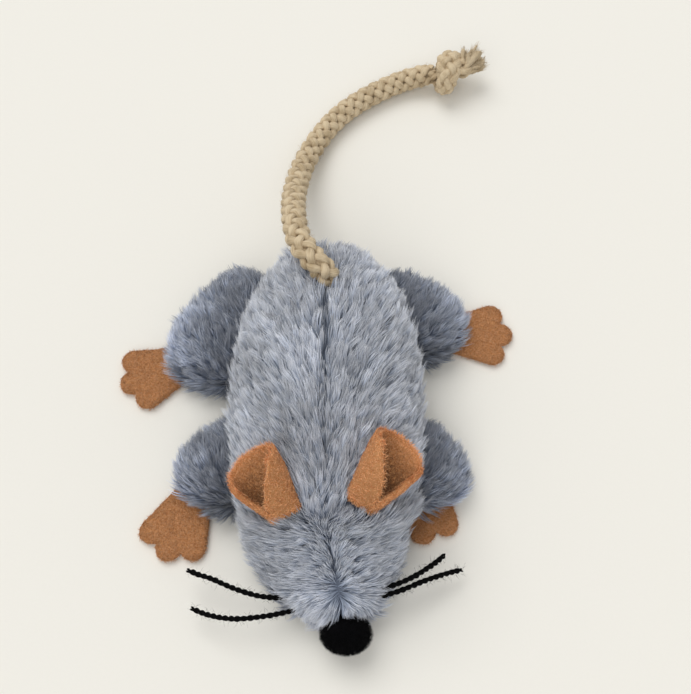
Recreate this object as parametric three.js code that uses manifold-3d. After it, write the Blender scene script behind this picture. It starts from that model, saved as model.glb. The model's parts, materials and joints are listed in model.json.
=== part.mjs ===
// Plush mouse cat toy with a sound box that a vibration switch starts.
// Millimetres. The nose points to -Y, the tail to +Y and +Z is up. The origin lies on the flat of the belly.
import * as THREE from 'three';
import { mergeVertices } from 'three/addons/utils/BufferGeometryUtils.js';
import Module from 'manifold-3d';

const wasm = await Module();
wasm.setup();

// Clearances
const FIT = 0.35; // between pieces that are sewn or cut to each other
const FLAT_FIT = 0.1; // between flat faces that lie on each other
const SEAM_GAP = 0.5; // between two panels along a seam
const SCREW_FIT = 0.2;
const CELL_FIT = 0.3;
const BEYOND = 400; // reach of a cutting block
const SLIVER = 0.03; // edges shorter than this are closed up after a cut

// Stuffed body and head
const RUMP_Y = 58;
const HIGHEST_Y = 12;
const WIDEST_Y = 6;
const EAR_SEAM_Y = -30;
const SNOUT_Y = -49.5;
const REAR_LIFT_Y = 36; // from here the belly rises to the rump
const TORSO_HALF_WIDTH = 26;
const TORSO_HEIGHT = 40;
const NECK_HALF_WIDTH = 21.5;
const NECK_HEIGHT = 34.5;
const SNOUT_HALF_WIDTH = 6.5;
const SNOUT_TOP = 15;
const SNOUT_BOTTOM = 5;
const SNOUT_SHIFT = 5.3; // the head is turned to its left
const EAR_SEAM_TILT = 25; // the cross seam runs back as it goes down the cheeks
const EAR_SEAM_TURN = 4; // and turns with the head
const RUMP_MID_Z = 16;
const BELLY_CUT = 0.5; // depth of the flat that the weight presses into the belly
const SKIN = 4.2; // plush with its pile
const SIDE_SEAM_Z = 9;
const WIDEST_SHARE = 0.42; // where up a section it is widest
const UPPER_FULLNESS = 2.1;
const LOWER_FULLNESS = 4.5;
const RING_SIDES = 28;
const REAR_STEPS = 9;
const NECK_STEPS = 3;
const HEAD_STEPS = 5;
const RUMP_CLOSE = 0.999; // the last ring stops just short of the rump's point

// Legs, each from its seam on the body's side. A leg's own values are shares of the sizes here: seam is its
// place along the body from the belly's middle to the rump, swing its turn from straight out to the nose.
// The paw lies along the leg and aside towards the tail by shares of the leg's length.
const LEG_LENGTH = 22;
const LEG_HALF_WIDTH = 16;
const LEG_TIP_HALF_WIDTH = 10;
const LEG_HEIGHT = 17;
const LEG_TIP_HEIGHT = 11;
const LEG_FLOOR = 0.3;
const LEG_ROOT_DEPTH = 9;
const LEG_ROOT_ROUND = 12; // length over which the root end rounds off
const LEG_STEPS = 2;
const LEG_END_STEPS = 4;
const LEG_SIDES = 20;
const LEG_UP = 20;
const LEG_DOWN = 20;
const LEGS = [
  {
    name: 'left_rear', side: -1, seam: 0.724, swing: 37, long: 1.41, wide: 1.25, tipWide: 1.1, high: 1.06,
    pawAlong: 1.065, pawAside: 0.14, pawTurn: 24,
  },
  {
    name: 'left_front', side: -1, seam: -0.052, swing: 37, long: 0.84, wide: 0.94, tipWide: 0.95, high: 0.94,
    pawAlong: 1.157, pawAside: -0.24, pawTurn: 68,
  },
  {
    name: 'right_rear', side: 1, seam: 0.741, swing: 19, long: 1, wide: 1, tipWide: 1, high: 1,
    pawAlong: 1.064, pawAside: 0.12, pawTurn: 1,
  },
  {
    name: 'right_front', side: 1, seam: -0.06, swing: 53, long: 0.75, wide: 0.91, tipWide: 0.95, high: 0.94,
    pawAlong: 0.667, pawAside: -0.23, pawTurn: 92,
  },
];

// Felt paws
const FELT = 2;
const PALM_RADIUS = 6.6;
const TOE_RADIUS = 3.5;
const TOE_REACH = 8.6;
const TOE_SPREAD = 41;
const HEEL_LENGTH = 9;
const HEEL_HALF_WIDTH = 4.2;
const ROUND_SIDES = 16;
const WELL_SIDES = 24;
const BALL_SIDES = 18;
const TURN_STEPS = 4; // positions at which a turning piece is cut clear of what it turns against

// Felt ears, each a sheet wrapped into a cup that opens to the front and outwards
const EAR_LENGTH = 20;
const EAR_X = 10;
const EARS = [
  { name: 'left', side: -1, apart: 1.02, long: 0.95, leanOut: 0.44, leanBack: 0.66 },
  { name: 'right', side: 1, apart: 0.98, long: 1.1, leanOut: 0.46, leanBack: 0.68 },
];
const EAR_BASE_HALF_WIDTH = 5;
const EAR_BASE_DEPTH = 2.8;
const EAR_HALF_WIDTH = 9.2;
const EAR_DEPTH = 6.4;
const EAR_FELT = 1.8;
const EAR_OUTER_BASE_TURN = 150; // reach round the cup from its back, on the outer side at the seam
const EAR_OUTER_TURN = 92; // and at the rim
const EAR_INNER_TURN = 172;
const EAR_OUTER_DROP = 0.3; // share of the length that the rim drops towards each free edge
const EAR_INNER_DROP = 0.1;
const EAR_FLARE = 2.1;
const EAR_ROUND_STEPS = 16;
const EAR_RISE_STEPS = 6;
const EAR_TILT = 14;

// Velvet nose
const NOSE_HALF_WIDTH = 6.7;
const NOSE_HALF_LENGTH = 5.4;
const NOSE_HALF_HEIGHT = 6.1;
const NOSE_OVERLAP = 3; // how far the ball sits back into the snout

// Cords: routes are the points of their middle lines
const ROPE_DIAMETER = 7.4;
const ROPE_SIDES = 10;
const ROPE_STEPS = 26;
const TAIL_SWING = 18;
const TAIL_ROUTE = [
  [1.2, 36.1, 38.2], [-0.7, 37.9, 39.1], [-2.7, 40.2, 39.6], [-4.8, 43.2, 39.4], [-6.7, 47, 38.3],
  [-8.3, 52.1, 35.9], [-9.3, 58.6, 32], [-9.9, 65.6, 27.2], [-10.2, 72.8, 21.9], [-10, 80.2, 16.7],
  [-9.4, 87.3, 12.2], [-8.4, 93.8, 8.8], [-6.9, 99.6, 6.4], [-5.2, 104.5, 4.9], [-3, 109, 4.1],
  [-0.6, 112.9, 3.9], [2.4, 116.7, 3.9], [5.7, 120.1, 3.9], [9.6, 123.4, 3.9], [13.9, 126.4, 3.9],
  [18.3, 129.1, 3.9], [22.5, 131.2, 4.1], [26.6, 132.5, 4.6], [29.8, 133.1, 5.2], [32.7, 133.5, 5.8],
];
const KNOT_HALF_LENGTH = 6.6;
const KNOT_HALF_WIDTH = 7.8;
const KNOT_HALF_HEIGHT = 6.6;
const KNOT_REACH = 5.6; // from the rope's end to the middle of the knot
const FRAY_LENGTH = 17;
const FRAY_RADIUS = 4;
const FRAY_NECK_RADIUS = 3;
const FRAY_TURN = 36; // the short end leaves the knot turned back from the rope's line
const FRAY_RISE = -8;
const YARN_DIAMETER = 1.8;
const YARN_SIDES = 8;
const YARN_STEPS = 24;
const YARN_ROUTES = { // lengthwise places are from the snout's end
  upper: [
    [-36.8, 14.4, 8], [-33.6, 12.6, 9.6], [-30.2, 11, 11.2], [-26.7, 9.4, 12.8], [-23.2, 8, 14.2],
    [-17.1, 6.3, 16], [-11.4, 5.3, 17], [-4, 4.9, 17.2], [3, 5.1, 17.2], [9.5, 5.7, 17.2], [15.2, 6.9, 17],
    [19.1, 8.5, 16.2], [22, 10.1, 15.2], [24.8, 12.1, 13.9], [28.3, 14.9, 12], [31.5, 17.9, 10],
  ],
  lower: [
    [-35.4, 4.8, 6], [-32.1, 3.3, 7], [-28.7, 2.2, 8], [-25.3, 1.5, 9], [-22, 1.2, 10], [-15.4, 1.5, 11.7],
    [-9.7, 2.5, 12.6], [-3.4, 3.7, 12.9], [3, 4.7, 13], [9.4, 5.6, 13], [15.3, 6.6, 12.8], [19.3, 7.9, 12.2],
    [24.6, 10.3, 10.9], [30.1, 12.7, 8.8], [33.2, 13.9, 7.4], [36.3, 14.9, 6],
  ],
};

// Sound box
const BOX_Y = 22;
const BOX_Z = 5;
const BOX_WIDTH = 23;
const BOX_LENGTH = 32;
const BOX_CORNER = 6;
const BOX_WALL = 1.2;
const BOX_SPLIT_SHARE = 0.685; // height of the joint between base and cover, of the whole box
const CORNER_STEPS = 5;
const SCREW_RADIUS = 0.8;
const SCREW_HEAD_RADIUS = 1.6;
const SCREW_HEAD_HEIGHT = 1;
const SCREW_LENGTH = 9.5;
const SCREW_RECESS = 3; // depth of the hole that the case screws' heads sit in
const SCREW_BOSS_RADIUS = 2.1;
const SCREW_X = 7.3;
const SCREW_Y = 11.8;
const SOUND_HOLE_RADIUS = 0.9;
const SOUND_HOLE_CIRCLE = 4;
const SOUND_HOLE_COUNT = 6;
const SMALL_SIDES = 10;

// Battery well, cells, lid and contacts
const WELL_Y = 5;
const CELL_RADIUS = 5.8;
const CELL_HEIGHT = 3.05;
const WELL_WALL = 2.6;
const LID_RADIUS = 7.4;
const LID_THICKNESS = 1.2;
const LID_TAB_HALF_WIDTH = 2.6;
const LID_SCREW_Y = -6.2;
const LID_SCREW_LENGTH = 4.2;
const LID_PAD_HEIGHT = 2.4;
const LID_PAD_MARGIN = 1.8;
const CONTACT = 0.3;
const CONTACT_RADIUS = 4.5;
const STRIP_WIDTH = 2.4;
const STRIP_REACH = 9.6;
const UPPER_CONTACT_WIDTH = 6;

// Circuit, switch and sounder
const BOARD_WIDTH = 14.6;
const BOARD_LENGTH = 9.4;
const BOARD_THICKNESS = 1;
const BOARD_X = -2.3;
const BOARD_Y = -9.5;
const BOARD_Z = 6;
const CHIP_RADIUS = 2.6;
const CHIP_HEIGHT = 1.2;
const CHIP_X = -6;
const CAPACITOR_RADIUS = 1.3;
const CAPACITOR_HEIGHT = 3.4;
const CAPACITOR_X = -1.4;
const CAPACITOR_Y = -11.8;
const RESISTOR_LENGTH = 2.4;
const RESISTOR_WIDTH = 1.3;
const RESISTOR_HEIGHT = 0.7;
const RESISTOR_X = -1.4;
const RESISTOR_Y = -7;
const SWITCH_X = 2.4;
const SWITCH_Y = -10;
const SPRING_RADIUS = 1.4;
const SPRING_WIRE = 0.4;
const SPRING_PITCH = 0.85;
const SPRING_TURNS = 4;
const PIN_RADIUS = 0.35;
const PIN_HEIGHT = 3.8;
const PIEZO_Y = -6.2;
const PIEZO_RADIUS = 7.6;
const PIEZO_PLATE = 0.3;
const PIEZO_CERAMIC_RADIUS = 5.2;
const PIEZO_CERAMIC = 0.25;
const PIEZO_RING_WIDTH = 1.2;
const PIEZO_RING_HEIGHT = 0.8;
const SOUNDER_FIT = 0.3; // between the upper contact and the sounder
const LEAD_RADIUS = 0.35;
const LEAD_SIDES = 6;
const LEAD_STEPS = 8;

// Belly closure
const FLAP_THICKNESS = 1.2;
const FLAP_LIFT = 0.3; // the flap sits this far up from the floor
const FLAP_EDGE_GAP = 0.4;
const TAPE_WIDTH = 3;
const TAPE_THICKNESS = 0.7;
const FLAP_LENGTH = 33;

const { lerp, degToRad, clamp } = THREE.MathUtils;

// Share of the way of a value between two marks, held between 0 and 1
function share(value, from, to) {
  return clamp((value - from) / (to - from), 0, 1);
}

// Falls from 1 to 0 as a rounded end does
function roundOff(part, power) {
  return Math.sqrt(1 - part ** power);
}

// Closed three.js geometry as a solid for cutting and joining
function solid(geometry) {
  const plain = geometry.clone();
  plain.deleteAttribute('normal');
  plain.deleteAttribute('uv');
  const merged = mergeVertices(plain, 1e-4);
  return new wasm.Manifold(new wasm.Mesh({
    numProp: 3,
    vertProperties: Float32Array.from(merged.attributes.position.array),
    triVerts: Uint32Array.from(merged.index.array),
  }));
}

// Solid back to three.js geometry
function geometryOf(shape) {
  const { vertProperties, triVerts } = shape.getMesh();
  const geometry = new THREE.BufferGeometry();
  geometry.setAttribute('position', new THREE.BufferAttribute(Float32Array.from(vertProperties), 3));
  geometry.setIndex(new THREE.BufferAttribute(Uint32Array.from(triVerts), 1));
  geometry.computeVertexNormals();
  return geometry;
}

function block(low, high) {
  const size = new THREE.Vector3().subVectors(high, low);
  const middle = new THREE.Vector3().addVectors(low, high).multiplyScalar(0.5);
  return new THREE.BoxGeometry(size.x, size.y, size.z).translate(middle.x, middle.y, middle.z);
}

function blockOf(x0, x1, y0, y1, z0, z1) {
  return block(new THREE.Vector3(x0, y0, z0), new THREE.Vector3(x1, y1, z1));
}

// Upright cylinder between two heights
function post(radius, x, y, z0, z1, sides = SMALL_SIDES) {
  return new THREE.CylinderGeometry(radius, radius, z1 - z0, sides)
    .rotateX(Math.PI / 2)
    .translate(x, y, (z0 + z1) / 2);
}

// Plate with rounded corners between two heights
function roundedPlate(halfWidth, halfLength, corner, z0, z1) {
  const shape = new THREE.Shape();
  const x = halfWidth - corner;
  const y = halfLength - corner;
  shape.absarc(x, y, corner, 0, Math.PI / 2);
  shape.absarc(-x, y, corner, Math.PI / 2, Math.PI);
  shape.absarc(-x, -y, corner, Math.PI, Math.PI * 1.5);
  shape.absarc(x, -y, corner, Math.PI * 1.5, Math.PI * 2);
  const options = { depth: z1 - z0, bevelEnabled: false, curveSegments: CORNER_STEPS };
  return new THREE.ExtrudeGeometry(shape, options).translate(0, 0, z0);
}

// Round tube along a curve
function tube(curve, radius, sides, steps) {
  const section = new THREE.Shape();
  for (let i = 0; i < sides; i += 1) {
    const angle = (2 * Math.PI * i) / sides;
    const point = [radius * Math.cos(angle), radius * Math.sin(angle)];
    if (i === 0) {
      section.moveTo(...point);
    } else {
      section.lineTo(...point);
    }
  }
  section.closePath();
  return new THREE.ExtrudeGeometry(section, { steps, bevelEnabled: false, extrudePath: curve });
}

function ellipsoid(halfX, halfY, halfZ) {
  return new THREE.SphereGeometry(1, BALL_SIDES, BALL_SIDES / 2 + 2).scale(halfX, halfY, halfZ);
}

// Turned form about the Y axis from its radii and heights
function lathe(profile, sides) {
  return new THREE.LatheGeometry(profile.map((point) => new THREE.Vector2(...point)), sides);
}

function routeOf(points) {
  return new THREE.CatmullRomCurve3(points.map((point) => new THREE.Vector3(...point)));
}

// Skin through rings of points, closed by a fan at each end
function loft(rings) {
  const sides = rings[0].length;
  const points = rings.flat();
  const index = [];
  for (let ring = 0; ring < rings.length - 1; ring += 1) {
    for (let i = 0; i < sides; i += 1) {
      const a = ring * sides + i;
      const b = ring * sides + ((i + 1) % sides);
      index.push(a, a + sides, b, b, a + sides, b + sides);
    }
  }
  const ends = [0, (rings.length - 1) * sides];
  for (const [end, start] of ends.entries()) {
    const middle = new THREE.Vector3();
    points.slice(start, start + sides).forEach((point) => middle.addScaledVector(point, 1 / sides));
    points.push(middle);
    for (let i = 0; i < sides; i += 1) {
      const pair = [start + i, start + ((i + 1) % sides)];
      index.push(points.length - 1, ...(end === 0 ? pair : pair.reverse()));
    }
  }
  return new THREE.BufferGeometry().setFromPoints(points).setIndex(index);
}

// Cross-section of a stuffed form: round above, flatter and fuller below
function stuffedRing(centre, across, halfWidth, top, bottom, sides) {
  const middle = lerp(bottom, top, WIDEST_SHARE);
  const points = [];
  for (let i = 0; i < sides; i += 1) {
    const angle = (2 * Math.PI * i) / sides;
    const rise = Math.sin(angle);
    const power = 2 / (rise > 0 ? UPPER_FULLNESS : LOWER_FULLNESS);
    const reach = Math.sign(Math.cos(angle)) * Math.abs(Math.cos(angle)) ** power * halfWidth;
    const height = Math.sign(rise) * Math.abs(rise) ** power * (rise > 0 ? top - middle : middle - bottom);
    points.push(new THREE.Vector3(centre.x + across.x * reach, centre.y + across.y * reach, middle + height));
  }
  return points;
}

// Outlines of the stuffed body and head along its length
function halfWidthAt(y) {
  if (y > WIDEST_Y) {
    return TORSO_HALF_WIDTH * roundOff(share(y, WIDEST_Y, RUMP_Y), 2.6);
  }
  if (y > EAR_SEAM_Y) {
    return lerp(TORSO_HALF_WIDTH, NECK_HALF_WIDTH, share(y, WIDEST_Y, EAR_SEAM_Y) ** 1.8);
  }
  return lerp(NECK_HALF_WIDTH, SNOUT_HALF_WIDTH, share(y, EAR_SEAM_Y, SNOUT_Y) ** 1.3);
}

function topAt(y) {
  if (y > HIGHEST_Y) {
    return lerp(RUMP_MID_Z, TORSO_HEIGHT, roundOff(share(y, HIGHEST_Y, RUMP_Y), 2.5));
  }
  if (y > EAR_SEAM_Y) {
    return lerp(TORSO_HEIGHT, NECK_HEIGHT, share(y, HIGHEST_Y, EAR_SEAM_Y) ** 1.7);
  }
  return lerp(NECK_HEIGHT, SNOUT_TOP, share(y, EAR_SEAM_Y, SNOUT_Y));
}

function bottomAt(y) {
  if (y > REAR_LIFT_Y) {
    return lerp(RUMP_MID_Z, -BELLY_CUT, roundOff(share(y, REAR_LIFT_Y, RUMP_Y), 2.2));
  }
  return lerp(-BELLY_CUT, SNOUT_BOTTOM, share(y, EAR_SEAM_Y, SNOUT_Y) ** 2);
}

function shiftAt(y) {
  return SNOUT_SHIFT * share(y, EAR_SEAM_Y, SNOUT_Y) ** 1.3;
}

// Height of the body's upper surface above a point
function surfaceAt(x, y) {
  const middle = lerp(bottomAt(y), topAt(y), WIDEST_SHARE);
  const part = Math.abs((x - shiftAt(y)) / halfWidthAt(y)) ** UPPER_FULLNESS;
  return middle + (topAt(y) - middle) * (1 - part) ** (1 / UPPER_FULLNESS);
}

// The body and head as one stuffed form, drawn in by an inset or let out by a negative one
function bodyForm(inset) {
  const front = SNOUT_Y + inset;
  const rear = WIDEST_Y + (RUMP_Y - WIDEST_Y) * RUMP_CLOSE - inset;
  const stations = [];
  for (let i = 0; i < HEAD_STEPS; i += 1) {
    stations.push(lerp(front, EAR_SEAM_Y, i / HEAD_STEPS));
  }
  for (let i = 0; i < NECK_STEPS; i += 1) {
    stations.push(lerp(EAR_SEAM_Y, WIDEST_Y, i / NECK_STEPS));
  }
  for (let i = 0; i <= REAR_STEPS; i += 1) {
    stations.push(lerp(WIDEST_Y, rear, Math.sin((i / REAR_STEPS) * (Math.PI / 2))));
  }
  const across = new THREE.Vector2(1, 0);
  return loft(stations.map((y) => {
    const at = clamp(y, SNOUT_Y, WIDEST_Y + (RUMP_Y - WIDEST_Y) * RUMP_CLOSE);
    const centre = new THREE.Vector2(shiftAt(at), y);
    const top = topAt(at) - inset;
    const bottom = bottomAt(at) + inset;
    return stuffedRing(centre, across, halfWidthAt(at) - inset, top, bottom, RING_SIDES);
  }));
}

// Everything before or behind the cross seam that holds the ears
function acrossSeam(from, to) {
  const cut = blockOf(-BEYOND, BEYOND, from, to, -BEYOND, BEYOND)
    .rotateX(degToRad(EAR_SEAM_TILT))
    .rotateZ(degToRad(EAR_SEAM_TURN))
    .translate(0, EAR_SEAM_Y, NECK_HEIGHT);
  return solid(cut);
}

const beforeEars = () => acrossSeam(-BEYOND, -SEAM_GAP / 2);
const behindEars = () => acrossSeam(SEAM_GAP / 2, BEYOND);
const aboveFloor = (height) => solid(blockOf(-BEYOND, BEYOND, -BEYOND, BEYOND, height, BEYOND));

// Geometry turned about a line through a point
function turned(geometry, point, axis, degrees) {
  const about = new THREE.Matrix4().makeRotationAxis(axis, degToRad(degrees));
  const there = new THREE.Matrix4().makeTranslation(point.x, point.y, point.z);
  const back = new THREE.Matrix4().makeTranslation(-point.x, -point.y, -point.z);
  return geometry.clone().applyMatrix4(there.multiply(about).multiply(back));
}

// Takes from a shape what another would meet while it turns through a range of angles
function clearOfTurning(shape, geometry, point, axis, from, to, steps) {
  let rest = shape;
  for (let i = 0; i <= steps; i += 1) {
    rest = rest.subtract(solid(turned(geometry, point, axis, lerp(from, to, i / steps))));
  }
  return rest;
}

// Largest of the pieces that a cut leaves, without its slivers
function mainPiece(shape) {
  const pieces = shape.decompose();
  return pieces.reduce((best, piece) => (piece.volume() > best.volume() ? piece : best)).simplify(SLIVER);
}

const toy = new THREE.Group();

function finish(colour, roughness, metalness = 0) {
  return () => new THREE.MeshStandardMaterial({ color: colour, roughness, metalness });
}

const PLUSH = finish(0x8f98a3, 0.95);
const FELT_TAN = finish(0xa4703f, 0.95);
const VELVET = finish(0x08080b, 0.8);
const YARN = finish(0x070708, 0.9);
const COTTON = finish(0xc3ae90, 0.9);
const FILL = finish(0xe9e9e6, 1);
const TAPE = finish(0x4a4f55, 0.9);
const CASE_PLASTIC = finish(0xd8d8d4, 0.45);
const STEEL = finish(0xb9bcc0, 0.3, 1);
const BRASS = finish(0xc79a4b, 0.35, 1);
const BOARD_GREEN = finish(0x2c6b3c, 0.5);
const EPOXY = finish(0x0c0c0d, 0.4);
const CERAMIC = finish(0xe8e2d2, 0.6);
const INSULATION = finish(0x9c2420, 0.5);
const INSULATION_BLACK = finish(0x141414, 0.5);

function add(name, shape, material, group = toy) {
  const geometry = shape.isBufferGeometry ? shape : geometryOf(shape);
  const mesh = new THREE.Mesh(geometry, material());
  mesh.name = name;
  group.add(mesh);
}

// Cords
const tailRoute = routeOf(TAIL_ROUTE);
const tailRoot = tailRoute.getPointAt(0);
const ropeRadius = ROPE_DIAMETER / 2;
const yarnRoutes = Object.entries(YARN_ROUTES).map(([name, points]) => {
  const placed = points.map(([x, y, z]) => [x, y + SNOUT_Y, z]);
  return [name, routeOf(placed)];
});

// The rope's path through the plush, with room for the tail to swing
function tailRoom(shape) {
  const root = tube(tailRoute, ropeRadius + FIT, ROPE_SIDES, ROPE_STEPS);
  const upright = new THREE.Vector3(0, 0, 1);
  return clearOfTurning(shape, root, tailRoot, upright, -TAIL_SWING, TAIL_SWING, TURN_STEPS);
}

function yarnHoles(shape) {
  let rest = shape;
  for (const [, route] of yarnRoutes) {
    rest = rest.subtract(solid(tube(route, YARN_DIAMETER / 2 + FIT, YARN_SIDES, YARN_STEPS)));
  }
  return rest;
}

// Plush panels, cut from one skin along the seams
function makePanels() {
  const half = SEAM_GAP / 2;
  const outer = solid(bodyForm(0)).intersect(aboveFloor(0));
  const skin = outer.subtract(solid(bodyForm(SKIN)));
  const upper = skin.intersect(aboveFloor(SIDE_SEAM_Z + half));
  const faceTurn = -Math.atan2(SNOUT_SHIFT, EAR_SEAM_Y - SNOUT_Y);
  for (const [name, side] of [['left', -1], ['right', 1]]) {
    const beside = [side * half, side * BEYOND].sort((a, b) => a - b);
    const backHalf = blockOf(...beside, -BEYOND, BEYOND, -BEYOND, BEYOND);
    const back = tailRoom(upper.intersect(solid(backHalf)).intersect(behindEars()));
    add(`back_panel_${name}`, mainPiece(back), PLUSH);
    const faceHalf = blockOf(...beside, -BEYOND, BEYOND, -BEYOND, BEYOND)
      .rotateZ(-faceTurn)
      .translate(0, EAR_SEAM_Y, 0);
    const face = upper.intersect(beforeEars()).intersect(solid(faceHalf));
    add(`face_panel_${name}`, mainPiece(yarnHoles(face)), PLUSH);
  }
  const below = solid(blockOf(-BEYOND, BEYOND, -BEYOND, BEYOND, -BEYOND, SIDE_SEAM_Z - half));
  add('belly_panel', mainPiece(cutClosure(skin.intersect(below))), PLUSH);
}

// Heights inside the sound box, from its underside: lid, cells, upper contact, sounder and cover
const lidTop = LID_THICKNESS + FLAT_FIT;
const cellsBottom = lidTop + FLAT_FIT + CONTACT + FLAT_FIT;
const cellsTop = cellsBottom + 3 * CELL_HEIGHT + 2 * FLAT_FIT;
const ceramicBottom = cellsTop + FLAT_FIT + CONTACT + SOUNDER_FIT;
const ceramicTop = ceramicBottom + PIEZO_CERAMIC;
const plateBottom = ceramicTop + FLAT_FIT;
const plateTop = plateBottom + PIEZO_PLATE;
const ringBottom = plateTop + FLAT_FIT;
const ceiling = ringBottom + PIEZO_RING_HEIGHT;
const boxHeight = ceiling + BOX_WALL;
const boxSplit = boxHeight * BOX_SPLIT_SHARE;

// Belly closure: the hole for the sound box and the wider recess that takes the flap and its tapes
const boxHalfWidth = BOX_WIDTH / 2;
const boxHalfLength = BOX_LENGTH / 2;
const holeHalfWidth = boxHalfWidth + 2 * FIT;
const flapHinge = -holeHalfWidth + FLAP_EDGE_GAP;
const flapReach = holeHalfWidth + FLAP_EDGE_GAP + TAPE_WIDTH;
const hookBottom = FLAP_LIFT + FLAP_THICKNESS + FLAT_FIT;
const loopBottom = hookBottom + TAPE_THICKNESS + FLAT_FIT;
const recessTop = loopBottom + TAPE_THICKNESS + FLAT_FIT;

function cutClosure(panel) {
  const hole = roundedPlate(holeHalfWidth, boxHalfLength + 2 * FIT, BOX_CORNER, -1, BOX_Z);
  const front = BOX_Y - FLAP_LENGTH / 2 - FLAP_EDGE_GAP;
  const back = BOX_Y + FLAP_LENGTH / 2 + FLAP_EDGE_GAP;
  const recess = blockOf(-holeHalfWidth, flapReach + FLAP_EDGE_GAP, front, back, -1, recessTop);
  return panel.subtract(solid(hole.translate(0, BOX_Y, 0))).subtract(solid(recess));
}

function makeClosure() {
  const front = BOX_Y - FLAP_LENGTH / 2;
  const back = BOX_Y + FLAP_LENGTH / 2;
  add('belly_flap', blockOf(flapHinge, flapReach, front, back, FLAP_LIFT, FLAP_LIFT + FLAP_THICKNESS), PLUSH);
  const tape = (z) => blockOf(flapReach - TAPE_WIDTH, flapReach, front, back, z, z + TAPE_THICKNESS);
  add('hook_strip', tape(hookBottom), TAPE);
  add('loop_strip', tape(loopBottom), TAPE);
}

// Fibre fill, with the pocket that the sound box slides into from below
function makeStuffing() {
  const fill = solid(bodyForm(SKIN + FIT));
  const bodyPart = fill.intersect(behindEars());
  const pocketTop = BOX_Z + boxHeight + FIT;
  const pocket = roundedPlate(boxHalfWidth + FIT, boxHalfLength + FIT, BOX_CORNER, -1, pocketTop);
  add('body_stuffing', mainPiece(bodyPart.subtract(solid(pocket.translate(0, BOX_Y, 0)))), FILL);
  add('head_stuffing', mainPiece(yarnHoles(fill.intersect(beforeEars()))), FILL);
}

// Velvet ball at the end of the snout
function makeNose() {
  const ball = ellipsoid(NOSE_HALF_WIDTH, NOSE_HALF_LENGTH, NOSE_HALF_HEIGHT);
  const middleZ = lerp(SNOUT_BOTTOM, SNOUT_TOP, WIDEST_SHARE);
  ball.translate(SNOUT_SHIFT, SNOUT_Y - NOSE_HALF_LENGTH + NOSE_OVERLAP, middleZ);
  add('nose_cap', mainPiece(solid(ball).subtract(solid(bodyForm(-FIT)))), VELVET);
}

// Seam line on the body's side that a leg hangs from
function legSeam(leg) {
  const y = leg.seam * RUMP_Y;
  const point = new THREE.Vector3(leg.side * halfWidthAt(y), y, SIDE_SEAM_Z);
  const slope = (halfWidthAt(y + 1) - halfWidthAt(y - 1)) / 2;
  const axis = new THREE.Vector3(leg.side * slope, 1, 0).normalize().multiplyScalar(-leg.side);
  return { point, axis };
}

function legDirection(leg) {
  const swing = degToRad(leg.swing);
  return new THREE.Vector2(leg.side * Math.cos(swing), -Math.sin(swing));
}

// Stuffed leg: widest near the seam, tapering to a rounded tip, with a rounded root inside the side seam
function legForm(leg) {
  const { point } = legSeam(leg);
  const along = legDirection(leg);
  const across = new THREE.Vector2(along.y, -along.x);
  const length = leg.long * LEG_LENGTH;
  const tipHalfWidth = leg.tipWide * LEG_TIP_HALF_WIDTH;
  const rootEnd = LEG_ROOT_ROUND - LEG_ROOT_DEPTH;
  const tipStart = length - tipHalfWidth;
  const rounded = (i) => Math.sin((i / LEG_END_STEPS) * (Math.PI / 2)) * RUMP_CLOSE;
  const stations = [];
  for (let i = LEG_END_STEPS; i > 0; i -= 1) {
    stations.push(lerp(rootEnd, -LEG_ROOT_DEPTH, rounded(i)));
  }
  for (let i = 0; i < LEG_STEPS; i += 1) {
    stations.push(lerp(rootEnd, tipStart, i / LEG_STEPS));
  }
  for (let i = 0; i <= LEG_END_STEPS; i += 1) {
    stations.push(lerp(tipStart, length, rounded(i)));
  }
  return loft(stations.map((distance) => {
    const centre = new THREE.Vector2(point.x, point.y).addScaledVector(along, distance);
    const taper = share(distance, rootEnd, length) ** 1.5;
    const tip = roundOff(share(distance, tipStart, length), 2.2);
    const root = roundOff(share(distance, rootEnd, -LEG_ROOT_DEPTH), 3);
    const height = lerp(leg.high * LEG_HEIGHT, LEG_TIP_HEIGHT, taper);
    const middle = LEG_FLOOR + height * WIDEST_SHARE;
    const top = lerp(middle, LEG_FLOOR + height, tip * root);
    const bottom = lerp(middle, LEG_FLOOR - BELLY_CUT, tip * root);
    const halfWidth = lerp(leg.wide * LEG_HALF_WIDTH, tipHalfWidth, taper) * tip * root;
    return stuffedRing(centre, across, halfWidth, top, bottom, LEG_SIDES);
  }));
}

// Flat felt paw: a palm, three toes and the heel that the leg holds
function pawForm(leg, grow) {
  const low = LEG_FLOOR - grow;
  const high = LEG_FLOOR + FELT + grow;
  let paw = solid(post(PALM_RADIUS + grow, 0, 0, low, high, ROUND_SIDES));
  for (const turn of [-TOE_SPREAD, 0, TOE_SPREAD]) {
    const x = TOE_REACH * Math.cos(degToRad(turn));
    const y = TOE_REACH * Math.sin(degToRad(turn));
    paw = paw.add(solid(post(TOE_RADIUS + grow, x, y, low, high, ROUND_SIDES)));
  }
  const heel = blockOf(-HEEL_LENGTH - grow, 0, -HEEL_HALF_WIDTH - grow, HEEL_HALF_WIDTH + grow, low, high);
  const { point } = legSeam(leg);
  const along = legDirection(leg);
  const across = new THREE.Vector2(along.y, -along.x).multiplyScalar(leg.side);
  const palm = new THREE.Vector2(point.x, point.y)
    .addScaledVector(along, leg.pawAlong * leg.long * LEG_LENGTH)
    .addScaledVector(across, -leg.pawAside * leg.long * LEG_LENGTH);
  const turn = degToRad(leg.pawTurn);
  const heading = Math.atan2(-Math.sin(turn), leg.side * Math.cos(turn));
  return geometryOf(paw.add(solid(heel))).rotateZ(heading).translate(palm.x, palm.y, 0);
}

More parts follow.
